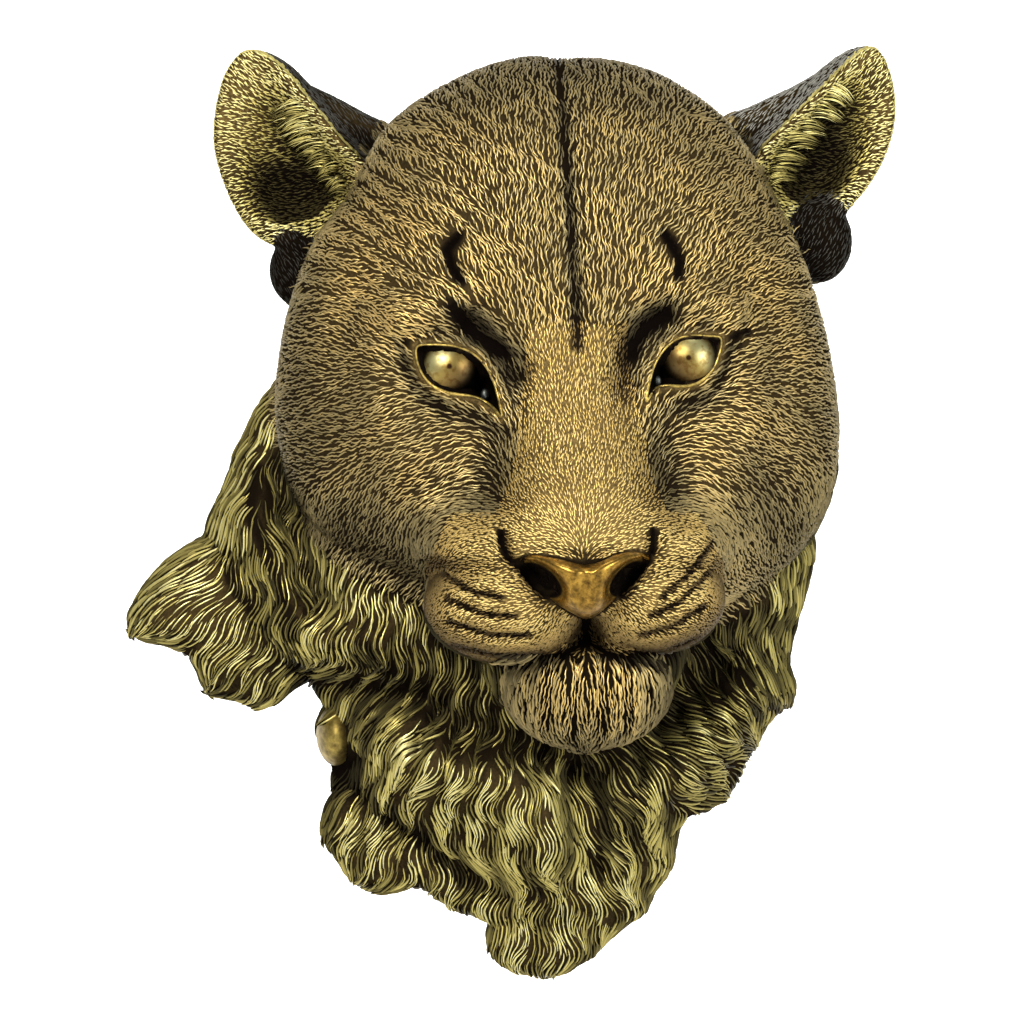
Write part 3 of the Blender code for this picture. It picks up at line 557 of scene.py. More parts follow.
def pad_front(rows, reach):
    """Depth of a whisker pad: a pebble with four grooves that fan from the nose."""
    def front(x, z, r):
        depth = 106.0 + reach * np.clip(1 - r ** 2.2, 0, 1) ** 0.5
        for path in whisker_rows(*rows):
            depth += stroke(x, z, path, 1.5, -4.4)
        return depth + opening(x, z, NOSE_OUTLINE, 3.0, -16.0)
    return front


def nose_front(x, z, r):
    """Depth of the nose leather, with its two nostrils and the middle groove."""
    depth = 152.0 + 16.0 * np.clip(1 - r ** 3.2, 0, 1) ** 0.5 + 0.12 * (z - NOSE_TIP[1])
    depth += mound(x, z, (10, -60), (10, 12), 2.5)
    for place, reach, turn in NOSTRILS:
        depth += hole(x, z, place, reach, turn, -14.0)
    depth += stroke(x, z, [(-17.5, -54.5), (-14, -57), (-8, -61)], 1.8, -7.0, 0.1)
    depth += stroke(x, z, [(35.5, -53), (33, -56), (27, -60.5)], 1.8, -7.0, 0.1)
    depth += stroke(x, z, [(9.5, -56), (10, -68), (10, -80)], 1.8, -1.6)
    return depth


def chin_front(x, z, r):
    """Depth of the chin, with long coarse strands fanning down."""
    depth = 90.0 + 38.0 * np.clip(1 - r ** 2.0, 0, 1) ** 0.5 + 0.30 * (z - CHIN[1])
    spread = (x - CHIN[0]) / (1.0 - 0.008 * (z + 92))
    depth += 1.3 * np.cos(spread * 2 * math.pi / 8.5) * np.clip((1 - r) / 0.3, 0, 1)
    return depth


def neck_strokes(x, z):
    """Folds of the neck skin, and the coarse locks that run down them."""
    return worked(x, z, 0.0, [
        # The roll of skin that swings from the knot to the tail, and its hollows
        ([(-78, -142), (-52, -138), (-26, -145), (-6, -166), (0, -190)], 12, 20),
        ([(-80, -160), (-58, -170), (-32, -184), (-18, -200)], 5, -14),
        ([(-50, -124), (-20, -126), (0, -136)], 7, -9),
        ([(4, -130), (6, -150), (11, -168), (15, -188)], 6.5, -15),
        ([(-2, -188), (4, -216)], 2.6, -6),
        # The right fold, from the tail up to the jaw
        ([(22, -162), (44, -146), (72, -126), (92, -104)], 11, 16),
        ([(38, -186), (56, -160), (82, -134)], 6, -7),
        ([(34, -126), (52, -106), (68, -84)], 8, -13),
        ([(58, -92), (76, -72), (98, -62)], 6, 6),
        # The left side: two bands of locks, the flap's root and the pockets
        ([(-118, -4), (-112, -34), (-104, -56), (-92, -78)], 6, -11),
        ([(-132, -10), (-131, -40), (-120, -68), (-104, -86)], 8, 9),
        ([(-136, -46), (-124, -62), (-118, -78)], 4.5, -9),
        ([(-108, -90), (-88, -84), (-66, -94)], 7, 10),
        ([(-106, -108), (-84, -104), (-58, -110), (-40, -122)], 5, -11),
        ([(-86, -124), (-68, -124), (-50, -116)], 6, 7),
        ([(-66, -123), (-50, -128)], 5, -9, 0.4),
    ])


def lock_waves(x, z, source, pitch, height):
    """Coarse wavy locks that fan down from a point above them, as added depth."""
    across = (x - source[0]) * LOCK_REACH / np.maximum(source[1] - z, 20.0)
    sway = 2.6 * np.sin(z / 15.0 + x / 60.0) + 1.3 * np.sin(z / 6.1 + x / 17.0)
    wave = np.cos((across + sway) * 2 * math.pi / pitch)
    return height * np.sign(wave) * np.abs(wave) ** 0.7


def neck_front(x, z, r):
    """Depth of the neck: deepest at the throat, thin at the hem."""
    base = 15.0 + 72.0 * np.clip(1 - r ** 1.7, 0, 1) ** 0.6
    fade = np.clip((1 - r) / 0.12, 0, 1)
    return base + (neck_strokes(x, z) + lock_waves(x, z, (-2, 40), 10.5, 1.4)) * fade


def skirt_front(edge, crown, source):
    """Depth of a loose flap of the hem, with locks that fan down from a point."""
    def front(x, z, r):
        fade = np.clip((1 - r) / 0.25, 0, 1)
        return (edge + (crown - edge) * np.sqrt(np.clip(1 - r ** 2.2, 0, 1))
                + lock_waves(x, z, source, 10.5, 1.4) * fade)
    return front


def pebble_front(edge, height):
    """Depth of a plain rounded lump."""
    return lambda x, z, r: edge + height * np.sqrt(np.clip(1 - r * r, 0, 1))


def ear_front(middle, side):
    """Depth of an ear's cupped front, which is swept back at its outer edge."""
    def front(x, z, r):
        rim = 40.0 - side * 0.30 * (x - middle[0]) + 0.05 * (z - middle[1])
        cup = np.clip((0.90 - r) / 0.62, 0, 1)
        cup = cup * cup * (3 - 2 * cup)
        lower = 1.0 + 0.011 * (middle[1] - z) - side * 0.011 * (x - middle[0])
        return rim + 1.2 * np.sin(np.clip(r - 0.86, 0, 0.14) * 22) - 16.0 * cup * lower
    return front


def oval(middle, reach):
    """A few points on an oval, as an outline."""
    turns = [2 * math.pi * k / 12 for k in range(12)]
    return [(middle[0] + reach[0] * math.cos(t), middle[1] + reach[1] * math.sin(t))
            for t in turns]


def wall_back(shrink):
    """Back of a lump that runs straight to the wall and ends flat behind it."""
    def back(x, z, depth_at_edge, t):
        run = np.clip(t / 0.4, 0, 1)
        reach = np.where(t < 0.4, 1 - (1 - shrink) * run * run, shrink * (1 - t) / 0.6)
        return reach, depth_at_edge * (1 - run) - BEHIND_WALL * run, 0.0, 0.0
    return back


def round_back(bulge, wall, lean):
    """Back of a free lump: a short wall at the rim, then a bulge that leans."""
    def back(x, z, depth_at_edge, t):
        inner = np.clip((t - 0.12) / 0.88, 0, 1) * math.pi / 2
        run = np.clip(t / 0.12, 0, 1)
        swell = np.sin(inner)
        return np.cos(inner), depth_at_edge - wall * run - bulge * swell, lean[0] * swell, lean[1] * swell
    return back


def lump(name, middle, points, front, back, rings=96, around=192):
    """One closed lump of clay: an outline, a front depth and a back."""
    clay = bmesh.new()
    bmesh.ops.create_uvsphere(clay, u_segments=around, v_segments=rings, radius=1.0)
    piece = finished(clay, name, False)
    mesh = piece.data
    flat = np.zeros(len(mesh.vertices) * 3)
    mesh.vertices.foreach_get("co", flat)
    ball = flat.reshape(-1, 3)
    angle = np.arctan2(ball[:, 1], ball[:, 0])
    from_front = np.arccos(np.clip(ball[:, 2], -1, 1))
    reach = outline_radius(points, middle)(angle)
    share = np.minimum(np.sin(np.minimum(from_front, math.pi / 2)), 1.0)
    x = middle[0] + reach * share * np.cos(angle)
    z = middle[1] + reach * share * np.sin(angle)
    depth = front(x, z, share)
    behind = from_front > math.pi / 2
    t = np.clip((from_front - math.pi / 2) / (math.pi / 2), 0, 1)
    inward, back_depth, lean_x, lean_z = back(x, z, depth, t)
    x = np.where(behind, middle[0] + reach * inward * np.cos(angle) + lean_x, x)
    z = np.where(behind, middle[1] + reach * inward * np.sin(angle) + lean_z, z)
    depth = np.where(behind, back_depth, depth)
    placed = np.stack([x, -depth, z], axis=1) * MM
    mesh.vertices.foreach_set("co", placed.ravel())
    mesh.update()
    return piece


def eye_ball(name, place):
    """A ball that fills the socket between the lids."""
    ball = bmesh.new()
    bmesh.ops.create_icosphere(ball, subdivisions=4, radius=EYE_RADIUS * MM)
    bmesh.ops.translate(ball, verts=ball.verts,
                        vec=(place[0] * MM, -(EYE_DEPTH - EYE_RADIUS) * MM, place[1] * MM))
    return finished(ball, name, False)


def clay_lumps():
    """All the lumps that are fused into the one casting."""
    wall = wall_back(0.90)
    lumps = [
        lump("head", HEAD_MIDDLE, HEAD_OUTLINE, head_front, wall_back(0.84), 256, 320),
        lump("neck", NECK_MIDDLE, NECK_OUTLINE, neck_front, wall, 160, 256),
        lump("flap", FLAP_MIDDLE, FLAP_OUTLINE, skirt_front(12, 40, (-28, 18)), wall),
        lump("hem", HEM_MIDDLE, HEM_OUTLINE, skirt_front(10, 34, (-2, -34)), wall),
        lump("tail", TAIL_MIDDLE, TAIL_OUTLINE, skirt_front(10, 34, (16, -46)), wall),
        lump("left_ear", LEFT_EAR_MIDDLE, LEFT_EAR_OUTLINE,
             ear_front(LEFT_EAR_MIDDLE, -1), round_back(23, 5, (13, 5))),
        lump("right_ear", RIGHT_EAR_MIDDLE, RIGHT_EAR_OUTLINE,
             ear_front(RIGHT_EAR_MIDDLE, 1), round_back(23, 5, (-14, 7))),
        lump("left_ear_back", LEFT_EAR_BACK_MIDDLE, LEFT_EAR_BACK_OUTLINE,
             pebble_front(19, 9), round_back(9, 5, (0, 0)), 48, 96),
        lump("right_ear_back", RIGHT_EAR_BACK_MIDDLE, RIGHT_EAR_BACK_OUTLINE,
             pebble_front(19, 9), round_back(9, 5, (0, 0)), 48, 96),
    ]
    for name, (middle, reach), rows in (("left_pad", LEFT_PAD, LEFT_WHISKERS),
                                        ("right_pad", RIGHT_PAD, RIGHT_WHISKERS)):
        lumps.append(lump(name, middle, oval(middle, reach), pad_front(rows, 53),
                          round_back(20, 12, (0, 0)), 96, 128))
    lumps.append(lump("muzzle", MUZZLE_MIDDLE, MUZZLE_OUTLINE, muzzle_front,
                      round_back(30, 16, (0, 0)), 96, 160))
    lumps.append(lump("nose", NOSE_TIP, NOSE_OUTLINE, nose_front,
                      round_back(16, 2, (0, 0)), 96, 128))
    lumps.append(lump("chin", CHIN, oval(CHIN, CHIN_REACH), chin_front,
                      round_back(24, 12, (0, 0)), 64, 128))
    for name, (middle, reach, edge, height), back in (
            ("jaw", JAW, round_back(24, 12, (0, 0))),
            ("left_ear_root", LEFT_EAR_ROOT, round_back(14, 8, (9, 0))),
            ("right_ear_root", RIGHT_EAR_ROOT, round_back(14, 8, (-9, 0))),
            ("knot", KNOT, wall), ("knot_stem", KNOT_STEM, wall)):
        lumps.append(lump(name, middle, oval(middle, reach), pebble_front(edge, height),
                          back, 64, 96))
    lumps.append(eye_ball("left_eye", LEFT_EYE))
    lumps.append(eye_ball("right_eye", RIGHT_EYE))
    return lumps


def joined(pieces, name):
    """Puts the lumps into one mesh, still as overlapping shells."""
    whole = bmesh.new()
    for piece in pieces:
        whole.from_mesh(piece.data)
        bpy.data.objects.remove(piece)
    bmesh.ops.recalc_face_normals(whole, faces=whole.faces)
    return finished(whole, name, False)


def guide_block(name, low, high, corner=0.0):
    """A hidden block that cuts the casting."""
    block = bmesh.new()
    bmesh.ops.create_cube(block, size=1.0)
    size = [b - a for a, b in zip(low, high)]
    centre = [(a + b) / 2 for a, b in zip(low, high)]
    bmesh.ops.scale(block, verts=block.verts, vec=size)
    if corner:
        uprights = [edge for edge in block.edges
                    if abs(edge.verts[0].co.y - edge.verts[1].co.y) > size[1] / 2]
        bmesh.ops.bevel(block, geom=uprights, offset=corner, affect="EDGES",
                        segments=4, profile=0.5, material=-1)
    bmesh.ops.translate(block, verts=block.verts, vec=centre)
    cutter = finished(block, name, False)
    cutter.hide_render = True
    cutter.display_type = "WIRE"
    return cutter


def soft_noise(x, y, z, scale):
    """A smooth wandering number between -1 and 1, made of crossed waves."""
    a = np.sin(x / scale * 1.7 + 1.3) * np.cos(z / scale * 1.3 - 0.4)
    b = np.sin((x + z) / scale * 1.1 + y / scale + 2.1)
    c = np.cos((x - 2 * z) / scale * 0.9 - y / scale * 1.3)
    return (a + b * 0.8 + c * 0.7) / 2.2


def cast_skin():
    """The casting's skin: the lumps fused fine, cut flat behind, with the hanging pocket."""
    skin = joined(clay_lumps(), "cast_skin")
    fuse = skin.modifiers.new("fuse", "REMESH")
    fuse.mode = "VOXEL"
    fuse.voxel_size = SKIN_GRAIN * MM
    fuse.use_smooth_shade = True
    soften = skin.modifiers.new("soften", "SMOOTH")
    soften.factor = 0.4
    soften.iterations = 1
    apply_modifiers(skin)
    thin = skin.modifiers.new("thin", "DECIMATE")
    thin.ratio = min(1.0, SKIN_FACETS / (2.0 * len(skin.data.polygons)))
    wide = 400 * MM
    back = guide_block("back_plane", (-wide, 0.0, -wide), (wide, 30 * MM, wide))
    x, z = POCKET_PLACE
    pocket = guide_block(
        "pocket_guide",
        ((x - POCKET_WIDTH / 2) * MM, -POCKET_DEPTH * MM, (z - POCKET_HEIGHT / 2) * MM),
        ((x + POCKET_WIDTH / 2) * MM, 10 * MM, (z + POCKET_HEIGHT / 2) * MM),
        POCKET_CORNER * MM)
    for cutter in (back, pocket):
        cut = skin.modifiers.new(cutter.name, "BOOLEAN")
        cut.operation = "DIFFERENCE"
        cut.solver = "EXACT"
        cut.object = cutter
    apply_modifiers(skin)
    for cutter in (back, pocket):
        bpy.data.objects.remove(cutter)
    return skin


def apply_modifiers(piece):
    """Bakes a piece's modifiers into its mesh."""
    whole = bpy.context.evaluated_depsgraph_get()
    mesh = bpy.data.meshes.new_from_object(piece.evaluated_get(whole))
    piece.modifiers.clear()
    piece.data = mesh


class Surface:
    """The skin as arrays, with a search tree for the nearest point and for rays."""

    def __init__(self, skin):
        mesh = skin.data
        mesh.calc_loop_triangles()
        flat = np.zeros(len(mesh.vertices) * 3)
        mesh.vertices.foreach_get("co", flat)
        self.points = flat.reshape(-1, 3) / MM
        corners = np.zeros(len(mesh.loop_triangles) * 3, dtype=np.int32)
        mesh.loop_triangles.foreach_get("vertices", corners)
        self.faces = corners.reshape(-1, 3)
        self.tree = BVHTree.FromPolygons(self.points.tolist(), self.faces.tolist())
        a, b, c = (self.points[self.faces[:, k]] for k in range(3))
        cross = np.cross(b - a, c - a)
        self.areas = np.linalg.norm(cross, axis=1) / 2
        self.face_way = cross / np.maximum(2 * self.areas, 1e-12)[:, None]
        ways = np.zeros_like(self.points)
        for k in range(3):
            np.add.at(ways, self.faces[:, k], cross)
        self.ways = ways / np.maximum(np.linalg.norm(ways, axis=1), 1e-12)[:, None]

    def scatter(self, count, keep, dice):
        """Random points on the faces that are kept, with smooth normals."""
        area = self.areas * keep
        chosen = dice.choice(len(area), size=count, p=area / area.sum())
        u = np.sqrt(dice.random(count))
        v = dice.random(count)
        share = np.stack([1 - u, u * (1 - v), u * v], axis=1)
        corners = self.faces[chosen]
        place = (self.points[corners] * share[:, :, None]).sum(axis=1)
        way = (self.ways[corners] * share[:, :, None]).sum(axis=1)
        return place, way / np.linalg.norm(way, axis=1)[:, None]

    def snap(self, place):
        """The nearest points of the skin, with smooth normals."""
        spots = np.empty_like(place)
        ways = np.empty_like(place)
        for row, point in enumerate(place.tolist()):
            spot, _, face, _ = self.tree.find_nearest(point)
            spots[row] = spot
            ways[row] = self.ways[self.faces[face]].mean(axis=0)
        return spots, ways / np.linalg.norm(ways, axis=1)[:, None]

    def foremost(self, spots):
        """The y of the skin that shows at each (x, z) from the front."""
        return np.array([self.tree.ray_cast((x, IN_FRONT, z), (0, 1, 0))[0].y
                         for x, z in spots.tolist()])

    def shelter(self, place, way, reach, rays=10):
        """The share of the sky that nearby skin hides from each point."""
        hidden = np.zeros(len(place))
        turn = np.arange(rays) * 2.399963
        lift = (np.arange(rays) + 0.5) / rays
        level = np.sqrt(1 - lift ** 2)
        side = np.cross(way, np.array([0.31, 0.17, 0.94]))
        side /= np.maximum(np.linalg.norm(side, axis=1), 1e-9)[:, None]
        other = np.cross(way, side)
        start = place + way * 0.8
        for k in range(rays):
            ray = (way * lift[k] + side * (level[k] * math.cos(turn[k]))
                   + other * (level[k] * math.sin(turn[k])))
            for row, (spot, heading) in enumerate(zip(start.tolist(), ray.tolist())):
                hit = self.tree.ray_cast(spot, heading, reach)
                if hit[0] is not None:
                    hidden[row] += 1.0 - 0.6 * hit[3] / reach
        return hidden / rays


def in_pocket(x, y, z):
    """True in the hanging pocket and just round it."""
    return ((y > -POCKET_DEPTH - 1) & (abs(x - POCKET_PLACE[0]) < POCKET_WIDTH / 2 + 3)
            & (abs(z - POCKET_PLACE[1]) < POCKET_HEIGHT / 2 + 3))


def coat_of(x, y, z, way):
    """Names the coat that each point of the skin belongs to, or nothing where it is bare."""
    depth = -y
    head_share = outline_share(x, z, HEAD_OUTLINE, HEAD_MIDDLE)
    chin_share = outline_share(x, z, oval(CHIN, (36, 28)), CHIN)
    muzzle_share = outline_share(x, z, MUZZLE_OUTLINE, MUZZLE_MIDDLE)
    coat = np.full(x.shape, "neck", dtype="U8")
    ears = (z > 72) & (head_share > 1.0) & (depth < 64)
    head = (head_share <= 1.0) & (z > -97) & ((depth > 50) | (z > -8))
    coat[head] = "cheek"
    coat[head & (z > 40 + 0.15 * np.abs(x))] = "forehead"
    on_bridge = np.abs(x - midline(z)) < np.interp(z, [-60, -20, 20, 50], [44, 28, 21, 18])
    coat[head & on_bridge & (z < 42) & (z > -56)] = "bridge"
    coat[head & (muzzle_share < 1.02) & (z < -34) & (depth > 100)] = "muzzle"
    coat[(depth > 100) & (z < -48) & (z > -98) & (muzzle_share < 1.04)] = "muzzle"
    coat[(chin_share < 1.0) & (depth > 84) & (z < -90)] = "chin"
    coat[ears] = "ear"
    coat[ears & ((way[:, 1] > 0.1) | ~in_any(x, z, EARS, 1.03))] = "ear_back"
    lobes = [(oval(*root[:2]), root[0]) for root in (LEFT_EAR_ROOT, RIGHT_EAR_ROOT)]
    coat[in_any(x, z, lobes, 1.1) & (depth < 45) & (head_share > 0.97)] = "ear_back"
    bare = (y > -1.0) & (way[:, 1] > 0.3)
    bare |= in_pocket(x, y, z)
    for lids in (LEFT_LIDS, RIGHT_LIDS):
        in_lids = inside_outline(x, z, lids) | (outline_gap(x, z, lids) < 0.9)
        bare |= (depth > LID_DEPTH) & in_lids
    in_nose = inside_outline(x, z, NOSE_OUTLINE) | (outline_gap(x, z, NOSE_OUTLINE) < 0.3)
    bare |= (depth > 130) & in_nose
    bare |= outline_share(x, z, oval(*KNOT[:2]), KNOT[0]) < 1.1
    for path, clear, _, _ in DARK_LINES:
        gap, _ = path_distance(x, z, path)
        bare |= (gap < clear) & (depth > 40) & (coat != "chin") & (coat != "neck")
    coat[bare] = ""
    return coat


def lie_of(x, y, z, way, coat):
    """The way that the fur runs at each point, along the skin."""
    flow = np.zeros((len(x), 3))
    for names, pins, mirrored, spread in (
            (("forehead", "cheek", "bridge", "muzzle"), HEAD_LIE, True, 16.0),
            (("chin",), CHIN_LIE, False, 14.0), (("neck",), NECK_LIE, False, 11.0),
            (("ear", "ear_back"), EAR_LIE, True, 16.0)):
        here = np.isin(coat, names)
        if not here.any():
            continue
        px, pz = x[here], z[here]
        total = np.zeros((here.sum(), 3))
        for (ax, az), (dx, dz) in pins:
            step = np.array([dx, 0.0, dz]) / math.hypot(dx, dz)
            near = 1.0 / ((px - ax) ** 2 + (pz - az) ** 2 + spread ** 2) ** 2
            total += near[:, None] * step
            if mirrored:
                other = 2 * midline(az) - ax if names[0] != "ear" else -ax
                near = 1.0 / ((px - other) ** 2 + (pz - az) ** 2 + spread ** 2) ** 2
                total += near[:, None] * step * np.array([-1, 1, 1])
        flow[here] = total / np.maximum(np.linalg.norm(total, axis=1), 1e-12)[:, None]
    flow[:, 1] += np.where(coat == "neck", 0.25, 0.35)
    behind_ear = coat == "ear_back"
    flow[behind_ear] = (0.0, 0.0, 0.85)
    flow[behind_ear, 0] = 0.55 * np.sign(x[behind_ear])
    turn = 0.22 * soft_noise(x, y, z, 9.0) + 0.12 * soft_noise(z, x, y, 4.0)
    waves = 0.40 * np.sin(z / 3.4 + 0.9 * np.sin(x / 20.0) + x / 24.0)
    waves = (waves + 0.10 * np.sin(z / 8.0 - x / 16.0 + 2.0)) * flow[:, 2] ** 2
    turn = np.where(coat == "neck", 0.10 * soft_noise(x, y, z, 12.0) + waves, turn)
    turn = turn + 0.22 * np.sin(z / 1.6 + 1.3 * np.sin(x / 6.0) + x / 3.0) * (coat == "forehead")
    flow -= way * (flow * way).sum(axis=1)[:, None]
    flow /= np.maximum(np.linalg.norm(flow, axis=1), 1e-9)[:, None]
    across = np.cross(way, flow)
    return flow * np.cos(turn)[:, None] + across * np.sin(turn)[:, None]


def spaced_roots(place, flow, across, along):
    """Keeps the points that stand clear of each other: close side by side, far end to end."""
    cells = {}
    kept = []
    keys = np.floor(place / along).astype(int).tolist()
    rows = place.tolist()
    ways = flow.tolist()
    wide = 1.0 / (across * across)
    long = 1.0 / (along * along)
    around = [(i, j, k) for i in (-1, 0, 1) for j in (-1, 0, 1) for k in (-1, 0, 1)]
    for row, (x, y, z) in enumerate(rows):
        kx, ky, kz = keys[row]
        fx, fy, fz = ways[row]
        clear = True
        for i, j, k in around:
            for ox, oy, oz in cells.get((kx + i, ky + j, kz + k), ()):
                gx, gy, gz = ox - x, oy - y, oz - z
                run = gx * fx + gy * fy + gz * fz
                span = gx * gx + gy * gy + gz * gz - run * run
                if run * run * long + span * wide < 1.0:
                    clear = False
                    break
            if not clear:
                break
        if clear:
            kept.append(row)
            cells.setdefault((kx, ky, kz), []).append((x, y, z))
    return np.array(kept, dtype=int)


def strand_template(stations):
    """One three-sided strand along Z that comes to a point at both ends, one ring a station."""
    strand = bmesh.new()
    bmesh.ops.create_cone(strand, cap_ends=True, cap_tris=True, segments=3,
                          radius1=1.0, radius2=1.0, depth=stations - 1)
    bmesh.ops.translate(strand, verts=strand.verts, vec=(0, 0, (stations - 1) / 2))
    long = [edge for edge in strand.edges
            if abs(edge.verts[0].co.z - edge.verts[1].co.z) > 0.5]
    bmesh.ops.subdivide_edges(strand, edges=long, cuts=stations - 2)
    for level in (0, stations - 1):
        ring = [vert for vert in strand.verts if abs(vert.co.z - level) < 0.01]
        bmesh.ops.pointmerge(strand, verts=ring, merge_co=(0, 0, level))
    bmesh.ops.triangulate(strand, faces=strand.faces)
    bmesh.ops.recalc_face_normals(strand, faces=strand.faces)
    strand.verts.index_update()
    around = [math.atan2(vert.co.y, vert.co.x) for vert in strand.verts]
    level = [int(round(vert.co.z)) for vert in strand.verts]
    first = min(a for a, at in zip(around, level) if at == 1)
    corner = [int(round((a - first) / (2 * math.pi / 3))) % 3 for a in around]
    faces = [[vert.index for vert in face.verts] for face in strand.faces]
    strand.free()
    return np.array(level), np.array(corner), np.array(faces)


def strands(name, paths, ways, width, height, tone):
    """Many strands as one piece: each follows its own path, and carries its crest and tone."""
    count, stations, _ = paths.shape
    level, corner, faces = strand_template(stations)
    run = np.gradient(paths, axis=1)
    run /= np.maximum(np.linalg.norm(run, axis=2), 1e-9)[:, :, None]
    side = np.cross(ways, run)
    side /= np.maximum(np.linalg.norm(side, axis=2), 1e-9)[:, :, None]
    share = np.linspace(0, 1, stations)
    swell = np.sin(math.pi * share ** 0.85) ** 0.75
    swell[0] = 0.0
    swell[-1] = 0.0
    rise = np.sin(math.pi * np.clip(share, 0.04, 0.97) ** 1.25) ** 0.6
    tip = (level == 0) | (level == stations - 1)
    left = np.where(tip, 0.0, np.array([1.0, -1.0, 0.0])[corner])
    top = np.where(tip, 0.25, np.array([0.0, 0.0, 1.0])[corner])
    spread = (left * swell[level])[None, :] * (width / 2)[:, None]
    lift = (top * rise[level])[None, :] * height[:, None]
    lift -= SINK * (1 - top)[None, :]
    placed = (paths[:, level] + side[:, level] * spread[:, :, None]
              + ways[:, level] * lift[:, :, None])
    placed[:, :, 1] = np.minimum(placed[:, :, 1], -0.2)
    corners = (faces[None, :, :] + (np.arange(count) * len(level))[:, None, None]).reshape(-1)
    mesh = bpy.data.meshes.new(name)
    mesh.vertices.add(count * len(level))
    mesh.vertices.foreach_set("co", (placed * MM).ravel())
    mesh.loops.add(len(corners))
    mesh.loops.foreach_set("vertex_index", corners.astype(np.int32))
    mesh.polygons.add(len(corners) // 3)
    mesh.polygons.foreach_set("loop_start", np.arange(0, len(corners), 3, dtype=np.int32))
    mesh.update(calc_edges=True)
    mesh.polygons.foreach_set("use_smooth", np.ones(len(corners) // 3, dtype=bool))
    crest = np.where(tip, 0.55, np.where(corner == 2, 1.0, 0.0))
    beneath = (corner[faces] == 2).sum(axis=1) == 0
    on_face = crest[faces]
    on_face[beneath] = np.where(tip[faces[beneath]], 0.04, 0.02 * (corner[faces[beneath]] == 0))
    run_on = (level / (stations - 1.0))[faces]
    across = np.broadcast_to(on_face[None], (count,) + on_face.shape)
    up = 0.02 + 0.90 * tone[:, None, None] + 0.06 * run_on[None]
    chart = np.stack([0.01 + 0.98 * across, up], axis=-1)
    layer = mesh.uv_layers.new(name="OFBake")
    layer.data.foreach_set("uv", np.clip(chart, 0, 1).ravel())
    return linked(name, mesh)


def grow_paths(surface, place, way, coat, length, stations, wave, dice):
    """Traces each strand over the skin from its root, along the lie of the coat."""
    count = len(place)
    paths = np.empty((count, stations, 3))
    ways = np.empty((count, stations, 3))
    phase = dice.random(count) * 2 * math.pi
    bend = (dice.random(count) - 0.5) * np.where(coat == "neck", 0.10, 0.35)
    step = length / (stations - 1)
    spot, up = place, way
    for station in range(stations):
        paths[:, station] = spot
        ways[:, station] = up
        if station == stations - 1:
            break
        flow = lie_of(spot[:, 0], spot[:, 1], spot[:, 2], up, coat)
        across = np.cross(up, flow)
        turn = wave * np.sin(phase + station * 1.9) + bend * (station / stations)
        heading = flow * np.cos(turn)[:, None] + across * np.sin(turn)[:, None]
        free = (up[:, 1] > -0.72) & (way[:, 1] < -0.15) & (station >= stations - 5)
        free &= np.isin(coat, ("neck", "chin"))
        heading[:, 1] *= np.where(free, np.where(coat == "chin", 0.15, 0.6), 1.0)
        heading /= np.linalg.norm(heading, axis=1)[:, None]
        onward = spot + heading * step[:, None]
        spot, snapped = surface.snap(onward)
        spot = np.where(free[:, None], onward, spot)
        up = np.where(free[:, None], up, snapped)
    return paths, ways


def crosses_groove(paths):
    """True for each strand that would lie across a bare groove."""
    x, z = paths[:, :, 0], paths[:, :, 2]
    crossing = np.zeros(len(paths), dtype=bool)
    for path, clear, _, _ in DARK_LINES:
        gap, _ = path_distance(x, z, path)
        crossing |= (gap < clear).any(axis=1)
    for lids in (LEFT_LIDS, RIGHT_LIDS):
        in_lids = inside_outline(x, z, lids) | (outline_gap(x, z, lids) < 0.5)
        crossing |= in_lids.any(axis=1) & (paths[:, 0, 1] < -LID_DEPTH)
    return crossing


def patina_and_shade_share(x, z, front, on_neck):
    """How much of the dark patina is left at each point of the front, and how much painted shade darkens
    it.
    """
    dark = np.zeros(x.shape)
    for place, spread, turn, strength in PATINA_AND_SHADE_PATCHES:
        dark = np.maximum(dark, mound(x, z, place, spread, strength, turn))
    for path, _, reach, strength in DARK_LINES:
        gap, _ = path_distance(x, z, path)
        dark = np.maximum(dark, strength * np.exp(-0.5 * (gap / reach) ** 4))
    for path, reach, strength in NECK_GAP_SHADE:
        gap, _ = path_distance(x, z, path)
        dark = np.maximum(dark, strength * np.exp(-0.5 * (gap / reach) ** 4) * on_neck)
    return np.clip(dark * 1.25, 0, 0.98) * front


def bright_share(x, z):
    """How much brighter the gold was rubbed at each point of the front."""
    bright = np.zeros(x.shape)
    for place, spread, turn, strength in BRIGHT_PATCHES:
        bright = bright + mound(x, z, place, spread, strength, turn)
    return bright


def lobe_shade(x, z):
    """The painted shade on the lobes under the ears."""
    return np.clip(mound(x, z, LEFT_EAR_ROOT[0], (12, 14), 1.3)
                   + mound(x, z, RIGHT_EAR_ROOT[0], (13, 16), 1.3), 0, 0.85)


def lid_glow(x, z):
    """The bright band of fur that borders the openings of the eyes."""
    glow = np.zeros(x.shape)
    for lids in (LEFT_LIDS, RIGHT_LIDS):
        gap = outline_gap(x, z, lids)
        near = np.exp(-0.5 * ((gap - 1.6) / 1.7) ** 2) * ~inside_outline(x, z, lids)
        glow = np.maximum(glow, near)
    return glow


def concha_shade(x, y, z):
    """How deep a point lies in the dark hollow of an ear, as the strength of its painted shade."""
    deep = [mound(x, z, middle, spread, strength, turn)
            for middle, spread, turn, strength in EAR_HOLLOW_SHADE]
    return np.clip(np.maximum.reduce(deep), 0, 0.97) * (y > -34)


